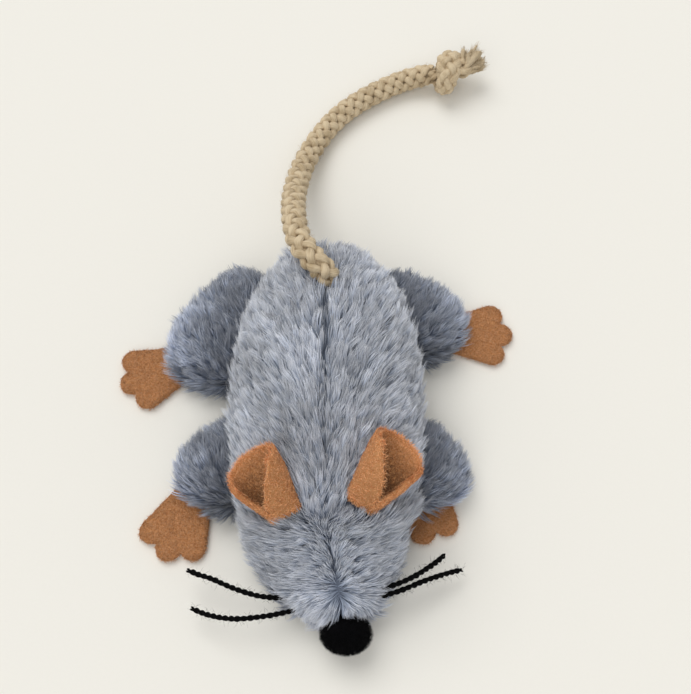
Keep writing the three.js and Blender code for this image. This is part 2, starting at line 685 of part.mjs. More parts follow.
function makeLegs() {
  const body = bodyForm(-FIT);
  for (const leg of LEGS) {
    const { point, axis } = legSeam(leg);
    const clear = (shape) => clearOfTurning(shape, body, point, axis, -LEG_UP, LEG_DOWN, TURN_STEPS);
    const form = solid(legForm(leg)).intersect(aboveFloor(LEG_FLOOR));
    add(`leg_${leg.name}`, mainPiece(clear(form).subtract(solid(pawForm(leg, FIT)))), PLUSH);
    add(`paw_${leg.name}`, mainPiece(clear(solid(pawForm(leg, 0)))), FELT_TAN);
  }
}

// Sheet with a thickness between two grids of points
function thickSheet(outer, inner) {
  const rows = outer.length;
  const columns = outer[0].length;
  const points = [...outer.flat(), ...inner.flat()];
  const at = (layer, row, column) => layer * rows * columns + row * columns + column;
  const index = [];
  const quad = (a, b, c, d) => index.push(a, b, c, a, c, d);
  for (let row = 0; row < rows - 1; row += 1) {
    for (let column = 0; column < columns - 1; column += 1) {
      quad(at(0, row, column), at(0, row + 1, column), at(0, row + 1, column + 1), at(0, row, column + 1));
      quad(at(1, row, column), at(1, row, column + 1), at(1, row + 1, column + 1), at(1, row + 1, column));
    }
    const last = columns - 1;
    quad(at(0, row, 0), at(1, row, 0), at(1, row + 1, 0), at(0, row + 1, 0));
    quad(at(0, row, last), at(0, row + 1, last), at(1, row + 1, last), at(1, row, last));
  }
  for (let column = 0; column < columns - 1; column += 1) {
    const last = rows - 1;
    quad(at(0, 0, column), at(0, 0, column + 1), at(1, 0, column + 1), at(1, 0, column));
    quad(at(0, last, column), at(1, last, column), at(1, last, column + 1), at(0, last, column + 1));
  }
  return new THREE.BufferGeometry().setFromPoints(points).setIndex(index);
}

// Where an ear is caught in the cross seam, and its own directions
function earSeat(ear) {
  const { side } = ear;
  const seamY = (x, z) => EAR_SEAM_Y
    + x * Math.tan(degToRad(EAR_SEAM_TURN))
    + (NECK_HEIGHT - z) * Math.tan(degToRad(EAR_SEAM_TILT));
  const seamPoint = (x) => {
    const y = seamY(x, surfaceAt(x, EAR_SEAM_Y));
    return new THREE.Vector3(x, y, surfaceAt(x, y));
  };
  const x = ear.apart * EAR_X;
  const base = seamPoint(side * x);
  const up = Math.sqrt(1 - ear.leanOut ** 2 - ear.leanBack ** 2);
  const rise = new THREE.Vector3(side * ear.leanOut, ear.leanBack, up);
  const inward = new THREE.Vector3(-side, 0, 0).addScaledVector(rise, side * rise.x).normalize();
  const seam = seamPoint(side * (x + 1)).sub(base).normalize();
  return { base, rise, inward, seam };
}

// Felt ear: the sheet's rows run round the cup and its columns rise from the seam to the rim
function earForm(ear) {
  const { base, rise, inward } = earSeat(ear);
  const length = ear.long * EAR_LENGTH;
  const front = new THREE.Vector3().crossVectors(inward, rise).multiplyScalar(-ear.side);
  const layer = (drawnIn) => {
    const grid = [];
    for (let row = 0; row <= EAR_ROUND_STEPS; row += 1) {
      const across = lerp(-1, 1, row / EAR_ROUND_STEPS);
      const rim = length * (1 - (across < 0 ? EAR_OUTER_DROP : EAR_INNER_DROP) * across ** 2);
      const column = [];
      for (let i = 0; i <= EAR_RISE_STEPS; i += 1) {
        const height = (rim * i) / EAR_RISE_STEPS;
        const outerTurn = lerp(EAR_OUTER_BASE_TURN, EAR_OUTER_TURN, height / length);
        const turn = degToRad(across * (across < 0 ? outerTurn : EAR_INNER_TURN));
        const flare = Math.sin((height / length) * EAR_FLARE);
        const width = lerp(EAR_BASE_HALF_WIDTH, EAR_HALF_WIDTH, flare) - drawnIn;
        const depth = lerp(EAR_BASE_DEPTH, EAR_DEPTH, flare) - drawnIn;
        column.push(base.clone()
          .addScaledVector(rise, height)
          .addScaledVector(inward, width * Math.sin(turn))
          .addScaledVector(front, -depth * Math.cos(turn)));
      }
      grid.push(column);
    }
    return ear.side < 0 ? grid.reverse() : grid;
  };
  return thickSheet(layer(0), layer(EAR_FELT));
}

function makeEars() {
  const body = bodyForm(-FIT);
  for (const ear of EARS) {
    const { base, seam } = earSeat(ear);
    const clear = clearOfTurning(solid(earForm(ear)), body, base, seam, -EAR_TILT, EAR_TILT, TURN_STEPS);
    add(`ear_${ear.name}`, mainPiece(clear), FELT_TAN);
  }
}

// Rope tail, its knot with the short end, and the yarns drawn through the snout
function makeCords() {
  add('tail_rope', tube(tailRoute, ropeRadius, ROPE_SIDES, ROPE_STEPS), COTTON);
  const end = tailRoute.getPointAt(1);
  const along = tailRoute.getTangentAt(1);
  const heading = Math.atan2(along.y, along.x);
  const ball = ellipsoid(KNOT_HALF_LENGTH, KNOT_HALF_WIDTH, KNOT_HALF_HEIGHT);
  const profile = [
    [0, 0], [FRAY_NECK_RADIUS, 0], [FRAY_NECK_RADIUS, FRAY_LENGTH / 2], [FRAY_RADIUS, FRAY_LENGTH],
    [0, FRAY_LENGTH],
  ];
  const fray = lathe(profile, ROPE_SIDES)
    .rotateZ(-Math.PI / 2)
    .rotateY(degToRad(-FRAY_RISE))
    .rotateZ(degToRad(FRAY_TURN));
  const knot = geometryOf(solid(ball).add(solid(fray))).rotateZ(heading);
  const middle = new THREE.Vector2(Math.cos(heading), Math.sin(heading)).multiplyScalar(KNOT_REACH).add(end);
  knot.translate(middle.x, middle.y, KNOT_HALF_HEIGHT + FIT);
  const taken = solid(tube(tailRoute, ropeRadius + FIT, ROPE_SIDES, ROPE_STEPS));
  add('tail_knot', mainPiece(solid(knot).subtract(taken)), COTTON);
  for (const [name, route] of yarnRoutes) {
    add(`whisker_yarn_${name}`, tube(route, YARN_DIAMETER / 2, YARN_SIDES, YARN_STEPS), YARN);
  }
}

// Sound box. Heights below are from its underside; the group puts it in the belly.
const soundBox = new THREE.Group();
soundBox.position.set(0, BOX_Y, BOX_Z);
toy.add(soundBox);

const screwPlaces = [['front', SCREW_X, -SCREW_Y], ['rear', -SCREW_X, SCREW_Y]];
const wellRadius = CELL_RADIUS + CELL_FIT;

function lidOutline(grow, top) {
  const lid = solid(post(LID_RADIUS + grow, 0, WELL_Y, -grow, top, WELL_SIDES));
  const tab = blockOf(-LID_TAB_HALF_WIDTH - grow, LID_TAB_HALF_WIDTH + grow,
    LID_SCREW_Y - LID_TAB_HALF_WIDTH - grow, WELL_Y, -grow, top);
  return lid.add(solid(tab));
}

function screwForm(length) {
  const profile = [
    [0, 0], [SCREW_HEAD_RADIUS, 0], [SCREW_HEAD_RADIUS, SCREW_HEAD_HEIGHT], [SCREW_RADIUS, SCREW_HEAD_HEIGHT],
    [SCREW_RADIUS, length - SCREW_RADIUS], [0, length],
  ];
  return lathe(profile, SMALL_SIDES).rotateX(Math.PI / 2);
}

// Screw's room: its head's recess and its shank's hole
function screwHole(x, y, from, length) {
  const head = solid(post(SCREW_HEAD_RADIUS + SCREW_FIT, x, y, -1, from + SCREW_HEAD_HEIGHT + FLAT_FIT));
  return head.add(solid(post(SCREW_RADIUS + SCREW_FIT, x, y, -1, from + length + SCREW_FIT)));
}

// The box's rounded outline, drawn in by an inset, between two heights
function boxOutline(inset, z0, z1) {
  return roundedPlate(boxHalfWidth - inset, boxHalfLength - inset, BOX_CORNER - inset, z0, z1);
}

function makeBase() {
  let base = solid(boxOutline(0, 0, boxSplit)).subtract(solid(boxOutline(BOX_WALL, BOX_WALL, boxHeight)));
  base = base.add(solid(post(wellRadius + WELL_WALL, 0, WELL_Y, 0, cellsTop, WELL_SIDES)));
  const padSide = LID_TAB_HALF_WIDTH + LID_PAD_MARGIN;
  base = base.add(solid(blockOf(-padSide, padSide, LID_SCREW_Y - padSide, WELL_Y, 0, LID_PAD_HEIGHT)));
  base = base.add(solid(post(SCREW_BOSS_RADIUS, 0, LID_SCREW_Y, 0, BOARD_Z - FLAT_FIT)));
  const ribX = BOARD_X - BOARD_WIDTH / 2;
  const ribReach = BOARD_LENGTH / 3;
  const rib = blockOf(ribX, ribX + BOX_WALL, BOARD_Y - ribReach, BOARD_Y + ribReach, 0, BOARD_Z - FLAT_FIT);
  base = base.add(solid(rib));
  for (const [, x, y] of screwPlaces) {
    base = base.add(solid(post(SCREW_BOSS_RADIUS, x, y, 0, boxSplit)));
  }
  base = base.intersect(solid(boxOutline(0, 0, boxHeight)));
  base = base.subtract(solid(post(wellRadius, 0, WELL_Y, -1, boxHeight, WELL_SIDES)));
  base = base.subtract(lidOutline(FLAT_FIT, lidTop));
  base = base.subtract(screwHole(0, LID_SCREW_Y, FLAT_FIT, LID_SCREW_LENGTH));
  for (const [, x, y] of screwPlaces) {
    base = base.subtract(screwHole(x, y, SCREW_RECESS, SCREW_LENGTH));
  }
  const stripTop = lidTop + FLAT_FIT + CONTACT + FLAT_FIT;
  const stripSide = STRIP_WIDTH / 2 + FLAT_FIT;
  const stripReach = STRIP_REACH + FLAT_FIT;
  const slot = blockOf(0, stripReach, WELL_Y - stripSide, WELL_Y + stripSide, lidTop, stripTop);
  base = base.subtract(solid(slot));
  add('module_base', mainPiece(base), CASE_PLASTIC, soundBox);
}

function makeCover() {
  const low = boxSplit + FLAT_FIT;
  let cover = solid(boxOutline(0, low, boxHeight)).subtract(solid(boxOutline(BOX_WALL, 0, ceiling)));
  const ring = solid(post(PIEZO_RADIUS, 0, PIEZO_Y, ringBottom, ceiling + FLAT_FIT, WELL_SIDES));
  const ringHole = post(PIEZO_RADIUS - PIEZO_RING_WIDTH, 0, PIEZO_Y, 0, boxHeight, WELL_SIDES);
  cover = cover.add(ring.subtract(solid(ringHole)));
  for (const [, x, y] of screwPlaces) {
    cover = cover.add(solid(post(SCREW_BOSS_RADIUS, x, y, low, ceiling + FLAT_FIT)));
  }
  cover = cover.intersect(solid(boxOutline(0, low, boxHeight)));
  for (const [, x, y] of screwPlaces) {
    cover = cover.subtract(screwHole(x, y, SCREW_RECESS, SCREW_LENGTH));
  }
  const holes = [[0, 0]];
  for (let i = 0; i < SOUND_HOLE_COUNT; i += 1) {
    const angle = (2 * Math.PI * i) / SOUND_HOLE_COUNT;
    holes.push([SOUND_HOLE_CIRCLE * Math.cos(angle), SOUND_HOLE_CIRCLE * Math.sin(angle)]);
  }
  for (const [x, y] of holes) {
    cover = cover.subtract(solid(post(SOUND_HOLE_RADIUS, x, PIEZO_Y + y, low, boxHeight + 1, 8)));
  }
  const clearPlate = post(PIEZO_RADIUS + FIT, 0, PIEZO_Y, 0, ringBottom, WELL_SIDES);
  const clearWell = post(wellRadius + WELL_WALL + FIT, 0, WELL_Y, 0, cellsTop + FIT, WELL_SIDES);
  cover = cover.subtract(solid(clearPlate)).subtract(solid(clearWell));
  add('module_cover', mainPiece(cover), CASE_PLASTIC, soundBox);
  for (const [name, x, y] of screwPlaces) {
    add(`case_screw_${name}`, screwForm(SCREW_LENGTH).translate(x, y, SCREW_RECESS), STEEL, soundBox);
  }
}

function makeBattery() {
  const lid = lidOutline(0, LID_THICKNESS).subtract(screwHole(0, LID_SCREW_Y, 0, LID_SCREW_LENGTH));
  add('battery_door', lid, CASE_PLASTIC, soundBox);
  add('door_screw', screwForm(LID_SCREW_LENGTH).translate(0, LID_SCREW_Y, 0), STEEL, soundBox);
  for (const [i, name] of ['lower', 'middle', 'upper'].entries()) {
    const z = cellsBottom + i * (CELL_HEIGHT + FLAT_FIT);
    add(`button_cell_${name}`, post(CELL_RADIUS, 0, WELL_Y, z, z + CELL_HEIGHT, WELL_SIDES), STEEL, soundBox);
  }
  const low = lidTop + FLAT_FIT;
  const side = STRIP_WIDTH / 2;
  const strip = blockOf(0, STRIP_REACH, WELL_Y - side, WELL_Y + side, low, low + CONTACT);
  const disc = post(CONTACT_RADIUS, 0, WELL_Y, low, low + CONTACT, ROUND_SIDES);
  add('contact_lower', solid(disc).add(solid(strip)), BRASS, soundBox);
  const high = cellsTop + FLAT_FIT;
  const half = UPPER_CONTACT_WIDTH / 2;
  const footFront = WELL_Y - wellRadius - WELL_WALL - 2 * CONTACT;
  const plateBack = WELL_Y + wellRadius + WELL_WALL / 2;
  const plate = blockOf(-half, half, footFront, plateBack, high, high + CONTACT);
  const footBottom = BOARD_Z + BOARD_THICKNESS + FLAT_FIT;
  const foot = blockOf(-half, half, footFront, footFront + CONTACT, footBottom, high);
  add('contact_upper', solid(plate).add(solid(foot)), BRASS, soundBox);
}

function makeCircuit() {
  const top = BOARD_Z + BOARD_THICKNESS;
  const board = blockOf(BOARD_X - BOARD_WIDTH / 2, BOARD_X + BOARD_WIDTH / 2, BOARD_Y - BOARD_LENGTH / 2,
    BOARD_Y + BOARD_LENGTH / 2, BOARD_Z, top);
  const room = BOX_WALL + FIT;
  const inside = solid(boxOutline(room, BOARD_Z - 1, top + 1));
  add('circuit_board', solid(board).intersect(inside), BOARD_GREEN, soundBox);
  const on = top + FLAT_FIT;
  const dome = [
    [0, 0],
    [CHIP_RADIUS, 0],
    [CHIP_RADIUS * 0.85, CHIP_HEIGHT * 0.6],
    [CHIP_RADIUS * 0.5, CHIP_HEIGHT * 0.92],
    [0, CHIP_HEIGHT],
  ];
  const chip = lathe(dome, SMALL_SIDES).rotateX(Math.PI / 2);
  add('sound_chip', chip.translate(CHIP_X, BOARD_Y, on), EPOXY, soundBox);
  const capacitor = post(CAPACITOR_RADIUS, CAPACITOR_X, CAPACITOR_Y, on, on + CAPACITOR_HEIGHT);
  add('board_capacitor', capacitor, INSULATION_BLACK, soundBox);
  const resistor = blockOf(RESISTOR_X - RESISTOR_WIDTH / 2, RESISTOR_X + RESISTOR_WIDTH / 2,
    RESISTOR_Y - RESISTOR_LENGTH / 2, RESISTOR_Y + RESISTOR_LENGTH / 2, on, on + RESISTOR_HEIGHT);
  add('board_resistor', resistor, CERAMIC, soundBox);
  add('switch_pin', post(PIN_RADIUS, SWITCH_X, SWITCH_Y, on, on + PIN_HEIGHT, 8), BRASS, soundBox);
  add('switch_spring', springForm(on), STEEL, soundBox);
}

// Middle line of the switch's coil
class CoilCurve extends THREE.Curve {
  constructor(z) {
    super();
    this.z = z;
  }

  getPoint(part, target = new THREE.Vector3()) {
    const angle = part * SPRING_TURNS * 2 * Math.PI;
    const height = this.z + SPRING_WIRE / 2 + part * SPRING_TURNS * SPRING_PITCH;
    const x = SWITCH_X + SPRING_RADIUS * Math.cos(angle);
    const y = SWITCH_Y + SPRING_RADIUS * Math.sin(angle);
    return target.set(x, y, height);
  }
}

function springForm(z) {
  const coil = tube(new CoilCurve(z + FLAT_FIT), SPRING_WIRE / 2, 5, SPRING_TURNS * 8);
  console.log(`least gap between turns of the switch spring: ${(SPRING_PITCH - SPRING_WIRE).toFixed(2)} mm`);
  return coil;
}

function makeSounder() {
  add('piezo_plate', post(PIEZO_RADIUS, 0, PIEZO_Y, plateBottom, plateTop, WELL_SIDES), BRASS, soundBox);
  const ceramic = post(PIEZO_CERAMIC_RADIUS, 0, PIEZO_Y, ceramicBottom, ceramicTop, WELL_SIDES);
  add('piezo_ceramic', ceramic, CERAMIC, soundBox);
  const boardTop = BOARD_Z + BOARD_THICKNESS + LEAD_RADIUS + FIT;
  const boardFront = BOARD_Y - BOARD_LENGTH / 3;
  const boardRear = BOARD_Y + BOARD_LENGTH / 2;
  const boardEdge = BOARD_X + BOARD_WIDTH / 2;
  addLead('piezo_lead_ceramic', INSULATION, [
    [CHIP_X + 1, boardFront, boardTop], [CHIP_X + 2.2, boardFront, boardTop + 1.6],
    [-2.6, PIEZO_Y - 2.4, ceramicBottom - 1.6], [-2.2, PIEZO_Y - 1.6, ceramicBottom - FIT],
  ]);
  addLead('piezo_lead_plate', INSULATION_BLACK, [
    [CHIP_X - 1.5, boardRear - 1, boardTop], [CHIP_X - 1, boardRear - 0.6, boardTop + 2],
    [CHIP_X - 0.4, PIEZO_Y + 0.6, plateBottom - 1.6], [CHIP_X - 0.3, PIEZO_Y + 0.4, plateBottom - FIT],
  ]);
  const stripX = STRIP_REACH - LEAD_RADIUS;
  const stripZ = lidTop + FLAT_FIT + CONTACT + LEAD_RADIUS + FIT;
  addLead('battery_lead', INSULATION, [
    [stripX, WELL_Y - 0.6, stripZ], [stripX, WELL_Y - 3, stripZ + 1.4], [STRIP_REACH - 0.8, -2.4, BOARD_Z],
    [boardEdge + 1.8, BOARD_Y + 4, boardTop + 0.6], [boardEdge - 0.4, BOARD_Y + 3.4, boardTop + 0.4],
  ]);
}

function addLead(name, material, points) {
  add(name, tube(routeOf(points), LEAD_RADIUS, LEAD_SIDES, LEAD_STEPS), material, soundBox);
}

makePanels();
makeClosure();
makeStuffing();
makeNose();
makeLegs();
makeEars();
makeCords();
makeBase();
makeCover();
makeBattery();
makeCircuit();
makeSounder();

export default toy;
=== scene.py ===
"""Dresses a stuffed mouse cat toy: pile plush, felt, velvet, yarn and a braided rope tail round its fixed frame.

Sizes are in millimetres and become metres when a mesh is made. The nose points to -Y, the tail to +Y, +Z is up.
"""
import json
import logging
import math
from dataclasses import dataclass, field
from enum import Enum
from functools import partial
from typing import Callable, Sequence

import bmesh
import bpy
import numpy as np
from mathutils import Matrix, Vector
from mathutils.kdtree import KDTree


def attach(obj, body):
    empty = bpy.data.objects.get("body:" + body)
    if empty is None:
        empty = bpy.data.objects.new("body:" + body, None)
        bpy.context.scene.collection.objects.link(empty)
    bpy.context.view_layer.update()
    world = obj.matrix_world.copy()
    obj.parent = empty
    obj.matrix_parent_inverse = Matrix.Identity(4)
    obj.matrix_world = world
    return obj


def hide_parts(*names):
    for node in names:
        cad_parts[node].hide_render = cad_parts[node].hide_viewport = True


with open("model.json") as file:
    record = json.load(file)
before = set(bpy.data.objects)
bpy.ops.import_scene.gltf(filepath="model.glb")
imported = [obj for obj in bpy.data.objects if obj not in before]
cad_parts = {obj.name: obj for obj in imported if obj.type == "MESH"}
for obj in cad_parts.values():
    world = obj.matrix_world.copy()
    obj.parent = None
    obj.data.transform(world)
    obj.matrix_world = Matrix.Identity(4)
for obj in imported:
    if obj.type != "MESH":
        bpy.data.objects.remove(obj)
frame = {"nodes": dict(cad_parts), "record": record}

MM = 0.001
SEED = 41
BAKE_MAP = "OFBake"
# a stuffed section is widest at this share of its height, nearly round above that and squarer below
WIDEST_AT = 0.42
ROUND_ABOVE = 2.1
SQUARE_BELOW = 4.5
# marks along a fibre from root to tip, and its share of its full width at the first three
FIBRE_MARKS = np.array([0, 0.34, 0.68, 1.0])
FIBRE_WIDTHS = np.array([0.8, 1.0, 0.75])
# tints that a fibre can have on the map, and how far half a fibre's width takes up there
LEAST_TINT, MOST_TINT, TINT_HALF = 0.03, 0.97, 0.012
# height in millimetres under which no fibre dips
FLOOR_CLEAR = 0.12
# points that lie closer than this, in metres, are welded
WELD_GAP = 2e-6
Array = np.ndarray
Point = tuple[float, float, float]
log = logging.getLogger("mouse_toy")


class Side(Enum):
    """Side of the toy as someone who faces the nose sees it."""

    LEFT = -1
    RIGHT = 1


def share(value: Array | float, start: float, end: float) -> Array:
    """Gives how far a value is from start to end, held between 0 and 1."""
    return np.clip((np.asarray(value, float) - start) / (end - start), 0, 1)


def lerp(start: Array | float, end: Array | float, part: Array | float) -> Array:
    """Gives the value that lies a part of the way from start to end."""
    return start + (end - start) * part


def round_off(part: Array, power: float) -> Array:
    """Falls from 1 to 0 as a rounded end does."""
    return np.sqrt(np.maximum(1 - part ** power, 0))


def unit(vectors: Array) -> Array:
    """Scales vectors to a length of 1."""
    return vectors / np.maximum(np.linalg.norm(vectors, axis=-1, keepdims=True), 1e-9)


def linear(colour: str) -> tuple[float, float, float, float]:
    """Turns an sRGB hex colour into linear values.

    Args:
        colour: six hex digits.

    Returns:
        Linear red, green and blue, with an alpha of 1.
    """
    parts = [int(colour[i:i + 2], 16) / 255 for i in (0, 2, 4)]
    red, green, blue = (p / 12.92 if p <= 0.04045 else ((p + 0.055) / 1.055) ** 2.4 for p in parts)
    return red, green, blue, 1.0


def ripple(points: Array, wavelength: float, seed: int) -> Array:
    """Gives a smooth uneven field from -1 to 1, from a few crossing waves.

    Args:
        points: places in millimetres.
        wavelength: usual distance between crests in millimetres.
        seed: picks the waves.

    Returns:
        One value for each point.
    """
    rng = np.random.default_rng(seed)
    total = np.zeros(points.shape[:-1])
    for _ in range(6):
        way = unit(rng.normal(size=3)) * 2 * math.pi / (wavelength * rng.uniform(0.6, 1.6))
        total += np.sin(points @ way + rng.uniform(0, 2 * math.pi))
    # six waves seldom add up to more than 3.2
    return total / 3.2


@dataclass
class Patch:
    """Faces of one piece before they become a mesh.

    Each array of faces has its own array of map places, one for each corner.
    """

    points: Array
    faces: list[Array]
    places: list[Array]

    @classmethod
    def grid(cls, points: Array, closed: bool = False, turned: bool = False) -> "Patch":
        """Makes four-sided faces between rows of points.

        Args:
            points: rows by columns by 3.
            closed: whether the last column meets the first.
            turned: whether the faces look the other way.

        Returns:
            The faces, with the map running along rows and columns.
        """
        rows, columns = points.shape[:2]
        across = columns if closed else columns - 1
        r, c = np.meshgrid(np.arange(rows - 1), np.arange(across), indexing="ij")
        after = (c + 1) % columns
        corners = np.stack([r * columns + c, (r + 1) * columns + c, (r + 1) * columns + after, r * columns + after], -1)
        u = np.stack([c, c, c + 1, c + 1], -1) / across
        v = np.stack([r, r + 1, r + 1, r], -1) / (rows - 1)
        faces, places = corners.reshape(-1, 4), np.stack([u, v], -1).reshape(-1, 4, 2)
        if turned:
            faces, places = faces[:, ::-1], places[:, ::-1]
        return cls(points.reshape(-1, 3), [faces], [places])

    def only(self, keep: Callable[[Array], Array]) -> "Patch":
        """Keeps the faces whose middles pass a test.

        Args:
            keep: takes the middles and gives true for the faces to keep.

        Returns:
            The kept faces.
        """
        masks = [keep(self.points[f].mean(1)) for f in self.faces]
        return Patch(self.points, [f[m] for f, m in zip(self.faces, masks)],
                     [p[m] for p, m in zip(self.places, masks)])


def joined(patches: Sequence[Patch]) -> Patch:
    """Puts several patches into one.

    Args:
        patches: the patches, in order.

    Returns:
        One patch with all their faces.
    """
    starts = np.cumsum([0] + [len(p.points) for p in patches])
    faces = [f + start for p, start in zip(patches, starts) for f in p.faces]
    return Patch(np.vstack([p.points for p in patches]), faces, [m for p in patches for m in p.places])


def make_piece(name: str, patch: Patch, finish: "Finish", weld: bool = False) -> bpy.types.Object:
    """Makes a mesh object from a patch.

    Args:
        name: the piece's name.
        patch: faces in millimetres.
        finish: what it is made of.
        weld: whether points that lie together become one.

    Returns:
        The new object, smooth shaded.
    """
    mesh = bpy.data.meshes.new(name)
    used, numbers = np.unique(np.concatenate([f.ravel() for f in patch.faces]), return_inverse=True)
    sizes = np.concatenate([np.full(len(f), f.shape[1]) for f in patch.faces])
    mesh.vertices.add(len(used))
    mesh.vertices.foreach_set("co", (patch.points[used] * MM).astype(np.float32).ravel())
    mesh.loops.add(len(numbers))
    mesh.loops.foreach_set("vertex_index", numbers.ravel().astype(np.int32))
    mesh.polygons.add(len(sizes))
    mesh.polygons.foreach_set("loop_start", np.concatenate([[0], np.cumsum(sizes)[:-1]]).astype(np.int32))
    mesh.polygons.foreach_set("use_smooth", np.ones(len(sizes), bool))
    layer = mesh.uv_layers.new(name=BAKE_MAP)
    layer.data.foreach_set("uv", np.concatenate([p.reshape(-1, 2) for p in patch.places]).astype(np.float32).ravel())
    mesh.update(calc_edges=True)
    mesh.validate()
    if weld:
        work = bmesh.new()
        work.from_mesh(mesh)
        bmesh.ops.remove_doubles(work, verts=work.verts, dist=WELD_GAP)
        bmesh.ops.recalc_face_normals(work, faces=work.faces)
        work.to_mesh(mesh)
        work.free()
    mesh.materials.append(finish.material())
    piece = bpy.data.objects.new(name, mesh)
    bpy.context.scene.collection.objects.link(piece)
    return piece


def settle(piece: bpy.types.Object, body: str, slot: str, *nodes: str) -> bpy.types.Object:
    """Fixes a piece to its body, in place of the frame's own solids.

    Args:
        piece: the finished piece.
        body: the body that carries it.
        slot: the record's material slot, not used.
        nodes: solids that it stands for.

    Returns:
        The same piece.
    """
    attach(piece, body)
    if nodes:
        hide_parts(*nodes)
    log.info("%s on %s: %d faces", piece.name, body, len(piece.data.polygons))
    return piece


def add_node(tree: bpy.types.NodeTree, kind: str, options: dict | None = None,
             inputs: dict | None = None) -> bpy.types.Node:
    """Adds a shader node with its settings and links.

    Args:
        tree: the material's nodes.
        kind: the node's type.
        options: properties to set.
        inputs: values or sockets for its inputs, by name or number.

    Returns:
        The new node.
    """
    made = tree.nodes.new(kind)
    for key, value in (options or {}).items():
        setattr(made, key, value)
    for key, value in (inputs or {}).items():
        if isinstance(value, bpy.types.NodeSocket):
            tree.links.new(value, made.inputs[key])
        else:
            made.inputs[key].default_value = value
    return made


@dataclass(frozen=True)
class Finish:
    """A material: what a surface is made of and how that was done."""

    name: str
    colour: str
    roughness: float = 0.8
    ior: float = 1.5
    metallic: float = 0.0
    sheen: float = 0.0
    specular: float = 0.5
    grain: float = 0.13
    sheen_roughness: float = 0.45

    def material(self) -> bpy.types.Material:
        """Gives this finish's material, made the first time it is asked for.

        Returns:
            The material.
        """
        made = bpy.data.materials.get(self.name)
        if made:
            return made
        made = bpy.data.materials.new(self.name)
        made.use_nodes = True
        tree = made.node_tree
        shader = tree.nodes["Principled BSDF"]
        shader.inputs["Base Color"].default_value = linear(self.colour)
        shader.inputs["Roughness"].default_value = self.roughness
        shader.inputs["Metallic"].default_value = self.metallic
        if not self.metallic:
            shader.inputs["IOR"].default_value = self.ior
        shader.inputs["Sheen Weight"].default_value = self.sheen
        shader.inputs["Sheen Roughness"].default_value = self.sheen_roughness
        shader.inputs["Specular IOR Level"].default_value = self.specular
        self.paint(tree, shader)
        return made

    def vary_gloss(self, tree: bpy.types.NodeTree, shader: bpy.types.Node, pattern: bpy.types.NodeSocket) -> None:
        """Lets a pattern make the surface duller where it is low and shinier where it is high.

        Args:
            tree: the material's nodes.
            shader: the node that the pattern works on.
            pattern: values from 0 to 1.
        """
        dull, shiny = min(1.0, self.roughness * 1.15), self.roughness * 0.85
        gloss = add_node(tree, "ShaderNodeMapRange", {}, {"Value": pattern, "To Min": dull, "To Max": shiny})
        tree.links.new(gloss.outputs[0], shader.inputs["Roughness"])

    def paint(self, tree: bpy.types.NodeTree, shader: bpy.types.Node) -> None:
        """Adds the surface's own pattern; a plain finish gets a grain 0.8 mm across, coarser than real to show.

        Args:
            tree: the material's nodes.
            shader: the node to colour.
        """
        place = add_node(tree, "ShaderNodeTexCoord").outputs["Object"]
        grain = add_node(tree, "ShaderNodeTexNoise", {}, {"Vector": place, "Scale": 1 / (0.8 * MM), "Detail": 3.0})
        dark, light = (tuple(min(1, c * k) for c in linear(self.colour)[:3]) + (1.0,)
                       for k in (1 - self.grain, 1 + self.grain))
        tone = add_node(tree, "ShaderNodeMix", {"data_type": "RGBA"}, {0: grain.outputs["Fac"], 6: dark, 7: light})
        tree.links.new(tone.outputs[2], shader.inputs["Base Color"])
        self.vary_gloss(tree, shader, grain.outputs["Fac"])
        bump = add_node(tree, "ShaderNodeBump", {}, {"Height": grain.outputs["Fac"], "Strength": self.grain,
                                                     "Distance": 0.05 * MM})
        tree.links.new(bump.outputs["Normal"], shader.inputs["Normal"])


@dataclass(frozen=True)
class PilePlush(Finish):
    """Knitted polyester pile: crimped fibres, dull at the root and pale at the tip, so it shows as light streaks."""

    root: str = "6f7a8e"
    middle: str = "9fa9bb"

    def paint(self, tree: bpy.types.NodeTree, shader: bpy.types.Node) -> None:
        """Colours each fibre from root to tip, with a tint of its own.

        Args:
            tree: the material's nodes.
            shader: the node to colour.
        """
        mapped = add_node(tree, "ShaderNodeUVMap", {"uv_map": BAKE_MAP}).outputs["UV"]
        parts = add_node(tree, "ShaderNodeSeparateXYZ", {}, {0: mapped}).outputs
        low = add_node(tree, "ShaderNodeMapRange", {}, {"Value": parts["Y"], "From Min": 0.0, "From Max": 0.5})
        high = add_node(tree, "ShaderNodeMapRange", {}, {"Value": parts["Y"], "From Min": 0.45, "From Max": 1.0})
        under = add_node(tree, "ShaderNodeMix", {"data_type": "RGBA"},
                         {0: low.outputs[0], 6: linear(self.root), 7: linear(self.middle)})
        whole = add_node(tree, "ShaderNodeMix", {"data_type": "RGBA"},
                         {0: high.outputs[0], 6: under.outputs[2], 7: linear(self.colour)})
        tint = add_node(tree, "ShaderNodeMapRange", {}, {"Value": parts["X"], "To Min": 0.34, "To Max": 1.5})
        shade = add_node(tree, "ShaderNodeVectorMath", {"operation": "SCALE"},
                         {0: whole.outputs[2], "Scale": tint.outputs[0]})
        tree.links.new(shade.outputs[0], shader.inputs["Base Color"])
        self.vary_gloss(tree, shader, parts["Y"])


